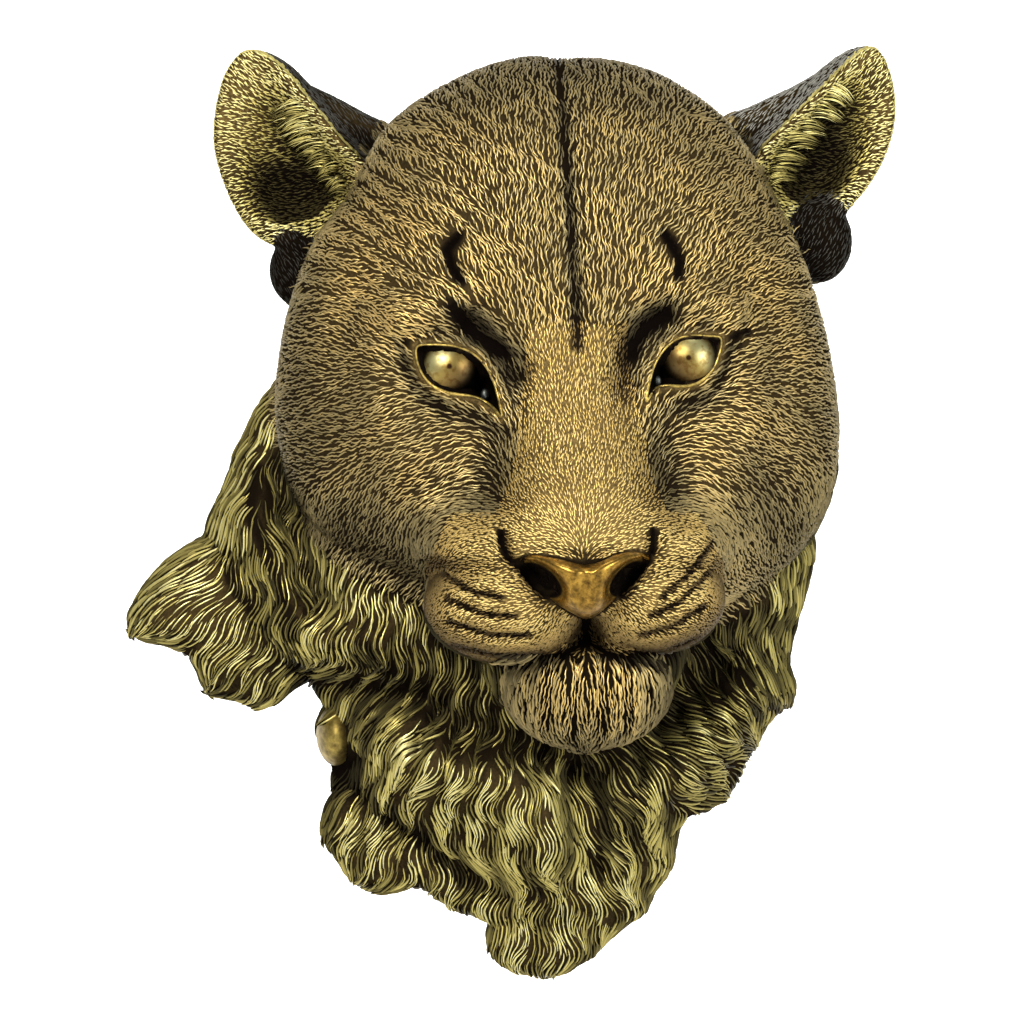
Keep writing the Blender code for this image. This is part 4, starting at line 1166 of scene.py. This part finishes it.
def fur(surface):
    """All the fur, one piece a coat, or more where a coat is large."""
    dice = np.random.default_rng(7)
    middle = surface.points[surface.faces].mean(axis=1)
    face_coat = coat_of(*middle.T, surface.face_way)
    pieces = {}
    for name, sizes in COATS.items():
        length, width, height, across, along, stations, wave, tone = sizes
        keep = face_coat == name
        area = surface.areas[keep].sum()
        tries = int(area / (across * along) * (6.0))
        place, way = surface.scatter(tries, keep, dice)
        coat = np.full(tries, name)
        roots = spaced_roots(place, lie_of(*place.T, way, coat), across, along)
        place, way, coat = place[roots], way[roots], coat[roots]
        lengths = length * (0.75 + 0.5 * dice.random(len(roots)))
        paths, ways = grow_paths(surface, place, way, coat, lengths, stations, wave, dice)
        if name not in ("neck", "chin"):
            clear = ~crosses_groove(paths)
            paths, ways = paths[clear], ways[clear]
        count = len(paths)
        shade = shade_of(name, tone, surface, paths[:, stations // 2], ways[:, stations // 2], dice)
        widths = width * (0.85 + 0.3 * dice.random(count))
        heights = height * (0.8 + 0.4 * dice.random(count))
        shares = math.ceil(count * (6 * stations - 12) / PIECE_LIMIT)
        order = np.argsort(paths[:, stations // 2, 0], kind="stable")
        for share, rows in enumerate(np.array_split(order, shares)):
            label = name + "_fur" + ("_" + str(share + 1) if shares > 1 else "")
            pieces[label] = strands(label, paths[rows], ways[rows], widths[rows], heights[rows],
                                    np.clip(shade[rows], 0, 1))
    return pieces


def shade_of(name, tone, surface, centre, up, dice):
    """How bright each strand of a coat is, from where its middle lies."""
    x, y, z = centre.T
    # Painted shade, with the patina that gathers in recesses, where nearby skin hides the sky from a
    # strand
    hidden = surface.shelter(centre, up, 22.0)
    dark = patina_and_shade_share(x, z, y < -8, name == "neck")
    mottle_light_and_shade = soft_noise(x, y, z, 11.0)
    # Partly the gold brushed on from the front, partly painted shade on sides turned from the lights
    low, full, power = FACING.get(name, PLAIN_FACING)
    facing = low + (1 - low) * np.clip(-up[:, 1] / full, 0, 1) ** power
    if name == "neck":
        # Painted shade in the troughs between the neck's wavy locks
        mottle_light_and_shade += 4.2 * lock_waves(x, z, (-2, 40), 10.5, 1.0) - 1.5
    if name == "ear":
        # Painted shade in the hollow of the ear
        dark = np.maximum(dark, concha_shade(x, y, z))
        rim = np.minimum(outline_share(x, z, *EARS[0]), outline_share(x, z, *EARS[1]))
        mottle_light_and_shade += 2.5 * np.clip((rim - 0.6) / 0.3, 0, 1)
    if name == "ear_back":
        # Painted shade on the lobes under the ears
        dark = np.maximum(dark, lobe_shade(x, z))
        # Painted light and shade: the back of the right ear is brightened and the left one darkened, as
        # lit from the right
        mottle_light_and_shade += np.where(x > 0, 2.5, -1.5)
        facing = np.where(x > 0, 1.0, 0.6)
    spread = 0.42 if name in ("neck", "chin") else 0.22
    shade = tone + 0.10 * mottle_light_and_shade + spread * (dice.random(len(x)) - 0.5) + bright_share(x, z)
    # Painted shade: the strand darkens where it is hidden, where patina and painted shade lie, and as it
    # turns from the front
    shade = shade * (1 - 0.92 * np.clip(hidden * 2.0 - 0.12, 0, 1)) * (1 - dark) * facing
    return np.maximum(shade, 0.66 * lid_glow(x, z) * (y < -LID_DEPTH))


def ear_tufts(surface, name, dice):
    """Pointed clumps of long hair that sweep from the front rim over the hollow of an ear."""
    share, stations = 30, 8
    clumps = np.repeat(np.array(EAR_TUFTS[name], dtype=float), share, axis=0)
    count = len(clumps)
    roots, tips = clumps[:, 0], clumps[:, 1]
    run = tips - roots
    side = np.stack([-run[:, 1], run[:, 0]], axis=1) / np.hypot(*run.T)[:, None]
    offset = (dice.random(count) - 0.5) * TUFT_WIDTH
    late = dice.random(count)
    roots = roots + side * offset[:, None] + run * (0.30 * late - 0.1)[:, None]
    tips = tips + side * (offset * 0.5)[:, None] - run * (0.45 * dice.random(count))[:, None]
    sag = np.sign(run[:, 0]) * 1.6
    base = surface.foremost(roots)
    hollow = surface.foremost(tips)
    paths = np.empty((count, stations, 3))
    lift = 1.2 * dice.random(count)
    for station in range(stations):
        at = station / (stations - 1.0)
        arch = math.sin(math.pi * at)
        flat = roots + (tips - roots) * at + side * (sag * arch)[:, None]
        depth = (base + 0.6) * (1 - at) + (hollow - 5.5 - lift) * at - 1.6 * arch
        paths[:, station] = np.stack([flat[:, 0], depth, flat[:, 1]], axis=1)
    ways = np.zeros_like(paths)
    ways[:, :, 1] = -1.0
    clump_tone = np.repeat(np.linspace(0.95, 0.50, len(EAR_TUFTS[name])), share)
    return strands(name, paths, ways, np.full(count, 0.95), np.full(count, 1.2),
                   clump_tone * (0.25 + 1.0 * dice.random(count)))


def eye_piece(name, place):
    """A burnished ball behind the lids."""
    ball = bmesh.new()
    bmesh.ops.create_uvsphere(ball, u_segments=64, v_segments=48, radius=EYE_RADIUS + 0.15)
    bmesh.ops.translate(ball, verts=ball.verts,
                        vec=(place[0], -(EYE_DEPTH - EYE_RADIUS), place[1]))
    bmesh.ops.scale(ball, verts=ball.verts, vec=(MM,) * 3)
    return finished(ball, name)


def lid_rim(name, surface, lids):
    """The burnished edge of the lids, laid on the skin round the opening."""
    path = rounded_path(lids)
    middle = path.mean(axis=0)
    outward = path - middle
    outward /= np.linalg.norm(outward, axis=1)[:, None]
    path = path + outward * 0.6
    depths = surface.foremost(path)
    for _ in range(6):
        depths = (np.roll(depths, 1) + depths * 2 + np.roll(depths, -1)) / 4
        path = (np.roll(path, 1, axis=0) + path * 2 + np.roll(path, -1, axis=0)) / 4
    rim = bpy.data.curves.new(name, "CURVE")
    rim.dimensions = "3D"
    rim.bevel_depth = 0.62 * MM
    rim.bevel_resolution = 3
    line = rim.splines.new("POLY")
    line.points.add(len(path) - 1)
    for point, (x, z), y in zip(line.points, path.tolist(), depths.tolist()):
        point.co = (x * MM, (y + 0.25) * MM, z * MM, 1)
        point.radius = 0.75 + 0.5 * min(max((middle[1] - z) / 6.0, 0.0), 1.0)
    line.use_cyclic_u = True
    return linked(name, rim)


def tear_bead(name, place):
    """A small bead in the inner corner of an eye."""
    bead = bmesh.new()
    bmesh.ops.create_uvsphere(bead, u_segments=32, v_segments=24, radius=1.0)
    bmesh.ops.scale(bead, verts=bead.verts, vec=(1.7, 1.4, 2.4))
    bmesh.ops.translate(bead, verts=bead.verts, vec=(place[0], -(EYE_DEPTH - 7.0), place[1]))
    bmesh.ops.scale(bead, verts=bead.verts, vec=(MM,) * 3)
    return finished(bead, name)


def knot_piece():
    """The smooth burnished knot on the left of the neck."""
    middle, reach, edge, height = KNOT
    piece = lump("knot_burnished", middle, oval(middle, (reach[0] + 0.4, reach[1] + 0.4)),
                 pebble_front(edge, height + 1), wall_back(0.90), 48, 64)
    skin = bmesh.new()
    skin.from_mesh(piece.data)
    bmesh.ops.bisect_plane(skin, geom=[*skin.verts, *skin.edges, *skin.faces],
                           plane_co=(0, -0.2 * MM, 0), plane_no=(0, 1, 0), clear_outer=True)
    bmesh.ops.recalc_face_normals(skin, faces=skin.faces)
    skin.to_mesh(piece.data)
    skin.free()
    piece.data.shade_smooth()
    return piece


def nose_leather():
    """The burnished nose, a little proud of the skin."""
    def front(x, z, r):
        return nose_front(x, z, r) + 0.35
    piece = lump("nose_leather", NOSE_TIP, NOSE_OUTLINE, front, round_back(12, 2, (0, 0)),
                 128, 192)
    piece.data.shade_smooth()
    place = np.zeros(len(piece.data.vertices) * 3)
    piece.data.vertices.foreach_get("co", place)
    x, y, z = place.reshape(-1, 3).T / MM
    hollow = np.zeros(x.shape)
    for middle, reach, turn in NOSTRILS:
        hollow = np.maximum(hollow, hole(x, z, middle, reach, turn, 1.0))
    hollow = np.maximum(hollow, stroke(x, z, [(-17.5, -54.5), (-14, -57), (-8, -61)], 1.2, 1.0, 0.1))
    hollow = np.maximum(hollow, stroke(x, z, [(35.5, -53), (33, -56), (27, -60.5)], 1.2, 1.0, 0.1))
    layer = piece.data.attributes.new("hollow", "FLOAT", "POINT")
    layer.data.foreach_set("value", hollow.astype(np.float32))
    return piece


class Finish:
    """A finish in the making: its nodes, and the shader that they feed."""

    def __init__(self, name):
        self.made = bpy.data.materials.new(name)
        self.made.use_nodes = True
        self.tree = self.made.node_tree
        self.shader = self.tree.nodes["Principled BSDF"]

    def feed(self, node, sockets):
        """Links each socket to the output given for it, or sets the plain value on it."""
        for key, value in sockets.items():
            if isinstance(value, bpy.types.NodeSocket):
                self.tree.links.new(value, node.inputs[key])
            else:
                node.inputs[key].default_value = value

    def add(self, kind, result, sockets, **settings):
        """Adds a node, and gives the output that is asked for."""
        node = self.tree.nodes.new("ShaderNode" + kind)
        for key, value in settings.items():
            setattr(node, key, value)
        self.feed(node, sockets)
        return node.outputs[result]

    def place(self):
        """The place on the piece."""
        return self.add("TexCoord", "Object", {})

    def noise(self, scale, detail, roughness=0.5, vector=None):
        """Cloudy noise over the piece."""
        return self.add("TexNoise", "Fac", {
            "Vector": self.place() if vector is None else vector,
            "Scale": scale, "Detail": detail, "Roughness": roughness})

    def span(self, value, low, high, start=0.0, end=1.0):
        """Runs from low to high while the value runs from start to end."""
        return self.add("MapRange", "Result", {"Value": value, "From Min": start,
                                               "From Max": end, "To Min": low, "To Max": high})

    def ramp(self, value, stops, ease="LINEAR"):
        """A colour by value, from stops of position and colour."""
        colour = self.add("ValToRGB", "Color", {"Fac": value})
        ramp = colour.node.color_ramp
        ramp.interpolation = ease
        while len(ramp.elements) > 1:
            ramp.elements.remove(ramp.elements[-1])
        ramp.elements[0].position = stops[0][0]
        ramp.elements[0].color = (*stops[0][1], 1)
        for at, tone in stops[1:]:
            ramp.elements.new(at).color = (*tone, 1)
        return colour

    def mix(self, factor, first, second, kind="RGBA", blend="MIX"):
        """Blends two colours or two values."""
        return self.add("Mix", "Result", {"Factor": factor, "A": first, "B": second},
                        data_type=kind, blend_type=blend)

    def bump(self, height, strength, distance):
        """Fine relief."""
        return self.add("Bump", "Normal", {"Height": height, "Strength": strength,
                                           "Distance": distance})

    def shade(self, sockets):
        """Feeds the shader, and gives the finish."""
        self.feed(self.shader, sockets)
        return self.made


def fur_finish(name, tones, valley, crest=(0.36, 0.68)):
    """Gold rubbed over dark patina: the crest of each strand is bright, its foot dark."""
    finish = Finish(name)
    chart = finish.add("UVMap", "UV", {}, uv_map="OFBake")
    crest_share = finish.add("SeparateXYZ", "X", {0: chart})
    tone_share = crest_share.node.outputs["Y"]
    worn = finish.ramp(crest_share, [(0.0, BLACK), (crest[0], (0.06,) * 3),
                                     (crest[1], (0.70,) * 3), (1.0, WHITE)], "EASE")
    gold = finish.ramp(tone_share, tones)
    return finish.shade({
        "Base Color": finish.mix(worn, (*valley, 1), gold),
        "Roughness": finish.span(crest_share, 0.72, 0.36),
        "Metallic": finish.span(crest_share, 0.0, 0.82),
        "Specular IOR Level": 0.0})


def shaded_patina_finish():
    """The dark ground between the strands, with gold dust on what stands out, dimmed by the painted shade
    stored on the skin.
    """
    finish = Finish("patina_with_painted_shade")
    grain = finish.noise(900.0, 4.0)
    # The stored share carries painted shade as well as the gold dust
    sky = finish.add("Attribute", "Fac", {}, attribute_name="dust_and_shade")
    dust = finish.add("Math", "Value", {0: finish.span(grain, 0.55, 1.35), 1: sky},
                      operation="MULTIPLY")
    tone = finish.ramp(dust, [(0.0, (0.003, 0.002, 0.0015)), (0.35, (0.012, 0.008, 0.004)),
                              (0.70, (0.045, 0.030, 0.011)), (1.0, (0.16, 0.105, 0.035))])
    return finish.shade({
        "Base Color": tone, "Metallic": 0.0, "Roughness": 0.75, "Specular IOR Level": 0.0,
        "Normal": finish.bump(grain, 0.35, 0.0004)})


def cast_back_finish():
    """The ground back of the casting: dull dark bronze with clouds, grain and file marks."""
    finish = Finish("cast_back")
    cloud = finish.noise(34.0, 7.0, 0.68)
    grain = finish.noise(1300.0, 3.0)
    stretch = finish.add("Mapping", "Vector", {
        "Vector": finish.place(), "Rotation": (0, 0.42, 0), "Scale": (40, 40, 1400)})
    marks = finish.noise(1.0, 2.0, vector=stretch)
    tone = finish.ramp(finish.mix(0.34, cloud, marks, "FLOAT"),
                       [(0.30, (0.020, 0.014, 0.008)), (0.46, (0.075, 0.052, 0.022)),
                        (0.56, (0.17, 0.12, 0.045)), (0.72, (0.34, 0.25, 0.095))])
    return finish.shade({
        "Base Color": tone, "Metallic": 0.7, "Roughness": finish.span(cloud, 0.78, 0.40),
        "Normal": finish.bump(finish.mix(0.5, grain, marks, "FLOAT"), 0.5, 0.0003)})


def finish_back(skin):
    """Gives the flat back and its pocket their own finish."""
    skin.data.materials.append(cast_back_finish())
    for face in skin.data.polygons:
        x, y, z = face.center / MM
        if (y > -1.2 and face.normal.y > 0.5) or in_pocket(x, y, z):
            face.material_index = 1


def burnished_finish(name, bright, speck, speck_scale, roughness, nostrils=False):
    """Polished gold with small dark specks, and black in the nostrils where there are any."""
    finish = Finish(name)
    cloud = finish.noise(speck_scale, 6.0, 0.65)
    between = tuple(0.55 * a + 0.45 * b for a, b in zip(speck, bright))
    gold = finish.ramp(cloud, [(0.30, speck), (0.46, between), (0.62, bright)])
    sockets = {
        "Base Color": gold, "Metallic": 0.95,
        "Roughness": finish.span(cloud, roughness + 0.2, roughness, 0.3, 0.7),
        "Normal": finish.bump(cloud, 0.25, 0.0003)}
    if nostrils:
        hollow = finish.add("Attribute", "Fac", {}, attribute_name="hollow")
        edge = finish.ramp(hollow, [(0.30, WHITE), (0.52, BLACK)])
        sockets["Base Color"] = finish.mix(edge, (0.003, 0.002, 0.0015, 1), gold)
        sockets["Metallic"] = edge
        sockets["Specular IOR Level"] = 0.05
    return finish.shade(sockets)


def eye_finish(name, place, highlight_side):
    """Polished gold with a painted highlight, pale on the upper outer side and shaded towards the lower
    inner side, that turns black round the rim, partly paint and partly painted shade.
    """
    finish = Finish(name)
    shift = finish.add("Mapping", "Vector", {
        "Vector": finish.place(), "Scale": (1, 0, 1),
        "Location": (-place[0] * MM, 0, -(place[1] + 0.6) * MM)})
    away = finish.add("VectorMath", "Value", {0: shift}, operation="LENGTH")
    # Painted highlight: the gold pales towards the highlight side and upwards, and darkens as painted
    # shade the other way
    slope = finish.add("VectorMath", "Value", {0: shift, 1: (0.75 * highlight_side, 0, 0.66)},
                       operation="DOT_PRODUCT")
    gold = finish.ramp(finish.span(slope, 0.0, 1.0, -9.0 * MM, 9.0 * MM),
                       [(0.0, (0.030, 0.022, 0.010)), (0.30, (0.13, 0.080, 0.022)),
                        (0.55, (0.25, 0.18, 0.048)), (0.85, (0.42, 0.38, 0.17))])
    # Black round the rim, partly the eye's own paint and partly painted shade under the lids; the dark
    # dot in the middle is the pupil
    rim = finish.ramp(finish.span(away, 0.0, 1.0, 0.0, EYE_RADIUS * MM),
                      [(0.0, (0.10, 0.05, 0.03)), (0.055, (0.14, 0.08, 0.05)), (0.095, WHITE),
                       (0.53, WHITE), (0.67, (0.45, 0.40, 0.34)), (0.75, (0.03, 0.025, 0.02)),
                       (1.0, (0.03, 0.025, 0.02))])
    cloud = finish.noise(420.0, 5.0)
    speck = finish.ramp(cloud, [(0.34, (0.66, 0.55, 0.42)), (0.50, WHITE)])
    rimmed = finish.mix(1.0, gold, rim, blend="MULTIPLY")
    return finish.shade({
        "Base Color": finish.mix(1.0, rimmed, speck, blend="MULTIPLY"),
        "Metallic": 0.9, "Roughness": finish.span(cloud, 0.40, 0.30)})


def paper_finish(name, glow, front_only=False):
    """White studio paper, or a sheet of it that is only there from the front."""
    finish = Finish(name)
    paper = finish.shade({"Base Color": (0.9, 0.9, 0.9, 1), "Roughness": 0.9,
                          "Emission Color": (1, 1, 1, 1), "Emission Strength": glow})
    if front_only:
        pick = finish.add("MixShader", 0, {
            0: finish.add("NewGeometry", "Backfacing", {}), 1: finish.shader.outputs[0],
            2: finish.add("BsdfTransparent", 0, {})})
        finish.feed(finish.tree.nodes["Material Output"], {"Surface": pick})
    return paper


def studio():
    """Pale floor and backdrop, soft lights, and the camera in front."""
    floor = bmesh.new()
    bmesh.ops.create_grid(floor, x_segments=1, y_segments=1, size=6.0)
    bmesh.ops.translate(floor, verts=floor.verts, vec=(0, 0, -0.48))
    floor = finished(floor, "studio_floor", False)
    floor.data.materials.append(paper_finish("studio_paper", 0.0))
    backdrop = bmesh.new()
    bmesh.ops.create_grid(backdrop, x_segments=1, y_segments=1, size=3.0)
    bmesh.ops.rotate(backdrop, verts=backdrop.verts,
                     matrix=Matrix.Rotation(math.pi / 2, 3, "X"))
    bmesh.ops.translate(backdrop, verts=backdrop.verts, vec=(0, 0.9, 2.4))
    backdrop = finished(backdrop, "studio_backdrop", False)
    backdrop.data.materials.append(paper_finish("backdrop_paper", 0.75, True))
    world = bpy.data.worlds.new("studio")
    world.use_nodes = True
    bpy.context.scene.world = world
    sky = world.node_tree.nodes["Background"]
    sky.inputs["Color"].default_value = (0.92, 0.96, 1.0, 1)
    sky.inputs["Strength"].default_value = 0.34
    for name, place, aim, size, power, colour in LIGHTS:
        light = bpy.data.lights.new(name, "AREA")
        light.shape = "RECTANGLE"
        light.size, light.size_y = size
        light.energy = power
        light.color = colour
        lamp = linked(name, light)
        lamp.location = place
        lamp.rotation_mode = "QUATERNION"
        lamp.rotation_quaternion = (Vector(aim) - Vector(place)).to_track_quat("-Z", "Y")
    camera = linked("camera", bpy.data.cameras.new("camera"))
    camera.data.sensor_width = 36.0
    camera.data.lens = 36.0 * CAMERA_AWAY / VIEW_WIDTH
    camera.location = (VIEW_MIDDLE[0], -CAMERA_AWAY - FOCUS_DEPTH, VIEW_MIDDLE[1])
    camera.rotation_euler = (math.pi / 2, 0, 0)
    camera.data.clip_end = 60.0
    bpy.context.scene.camera = camera
    bpy.context.scene.view_settings.view_transform = "Standard"


def dust_and_shade(surface, skin):
    """Stores on the skin how much gold dust shows at each point: less where the patina is left, and less
    under painted shade where nearby skin hides the sky, in the shaded patches and gaps, in the ear
    hollows, on the lobes and on sides turned from the front.
    """
    hidden = surface.shelter(surface.points, surface.ways, 16.0, 6)
    x, y, z = surface.points.T
    coat = coat_of(x, y, z, surface.ways)
    dust = np.select([coat == name for name in DUST], list(DUST.values()))
    dust = dust + 0.5 * bright_share(x, z) * (y < -60)
    # Painted shade on sides turned from the front, along with the gold brushed on from the front
    facing = 0.35 + 0.65 * np.clip(-surface.ways[:, 1] / 0.85, 0, 1)
    # Painted shade, with the patina that gathers there, where nearby skin hides the sky
    sky = np.clip((1.15 - 1.9 * hidden) * dust * facing, 0, 1)
    sky *= 1 - patina_and_shade_share(x, z, y < -8, coat == "neck")
    ears = (coat == "ear") | (coat == "ear_back")
    # Painted shade in the ear hollows and on the lobes under the ears
    sky *= 1 - np.maximum(concha_shade(x, y, z), lobe_shade(x, z)) * ears
    sky = np.maximum(sky, 0.85 * lid_glow(x, z) * (y < -LID_DEPTH))
    # Black inside the eye openings, partly their dark paint and partly painted shade
    for lids in (LEFT_LIDS, RIGHT_LIDS):
        sky[inside_outline(x, z, lids) & (y < -LID_DEPTH)] = 0.0
    layer = skin.data.attributes.new("dust_and_shade", "FLOAT", "POINT")
    layer.data.foreach_set("value", sky.astype(np.float32))


def dress(piece, finish):
    """Gives a piece its finish and ties it to the casting."""
    piece.data.materials.clear()
    piece.data.materials.append(finish)
    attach(piece, "root")
    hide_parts("lioness_head")


def main():
    """Makes and dresses every piece."""
    skin = cast_skin()
    skin.data.shade_smooth()
    surface = Surface(skin)
    dust_and_shade(surface, skin)
    dress(skin, shaded_patina_finish())
    finish_back(skin)
    coats = fur(surface)
    face = fur_finish("face_gold", FACE_TONES, VALLEY)
    neck = fur_finish("neck_gold", NECK_TONES, VALLEY, (0.45, 0.77))
    ear = fur_finish("ear_gold", NECK_TONES, (0.060, 0.044, 0.012), (0.28, 0.62))
    warm = fur_finish("warm_gold", WARM_TONES, (0.040, 0.024, 0.008))
    grey = fur_finish("ear_back_gold", BACK_TONES, VALLEY)
    finishes = {"forehead": face, "cheek": face, "bridge": warm, "muzzle": warm, "chin": face,
                "neck": neck, "ear": ear, "ear_back": grey}
    for name, piece in coats.items():
        dress(piece, finishes[name.split("_fur")[0]])
    dice = np.random.default_rng(21)
    for name in EAR_TUFTS:
        dress(ear_tufts(surface, name, dice), neck)
    knot = burnished_finish("knot_gold", (0.34, 0.25, 0.062), (0.07, 0.045, 0.014), 200, 0.40)
    dress(knot_piece(), knot)
    bead = burnished_finish("bead_gold", (0.13, 0.14, 0.13), (0.05, 0.05, 0.04), 420, 0.30)
    for name, place in TEAR_BEADS.items():
        dress(tear_bead(name, place), bead)
    for name, place, highlight_side in (("left_eye", LEFT_EYE, -1), ("right_eye", RIGHT_EYE, 1)):
        dress(eye_piece(name, place), eye_finish(name + "_gold", place, highlight_side))
    burnished = burnished_finish("burnished_gold", (0.50, 0.36, 0.09), (0.05, 0.03, 0.01),
                                 420, 0.30)
    dress(lid_rim("left_lid_rim", surface, LEFT_LIDS), burnished)
    dress(lid_rim("right_lid_rim", surface, RIGHT_LIDS), burnished)
    nose = burnished_finish("nose_gold", (0.35, 0.20, 0.034), (0.035, 0.018, 0.006), 300, 0.22,
                            nostrils=True)
    dress(nose_leather(), nose)
    studio()


main()
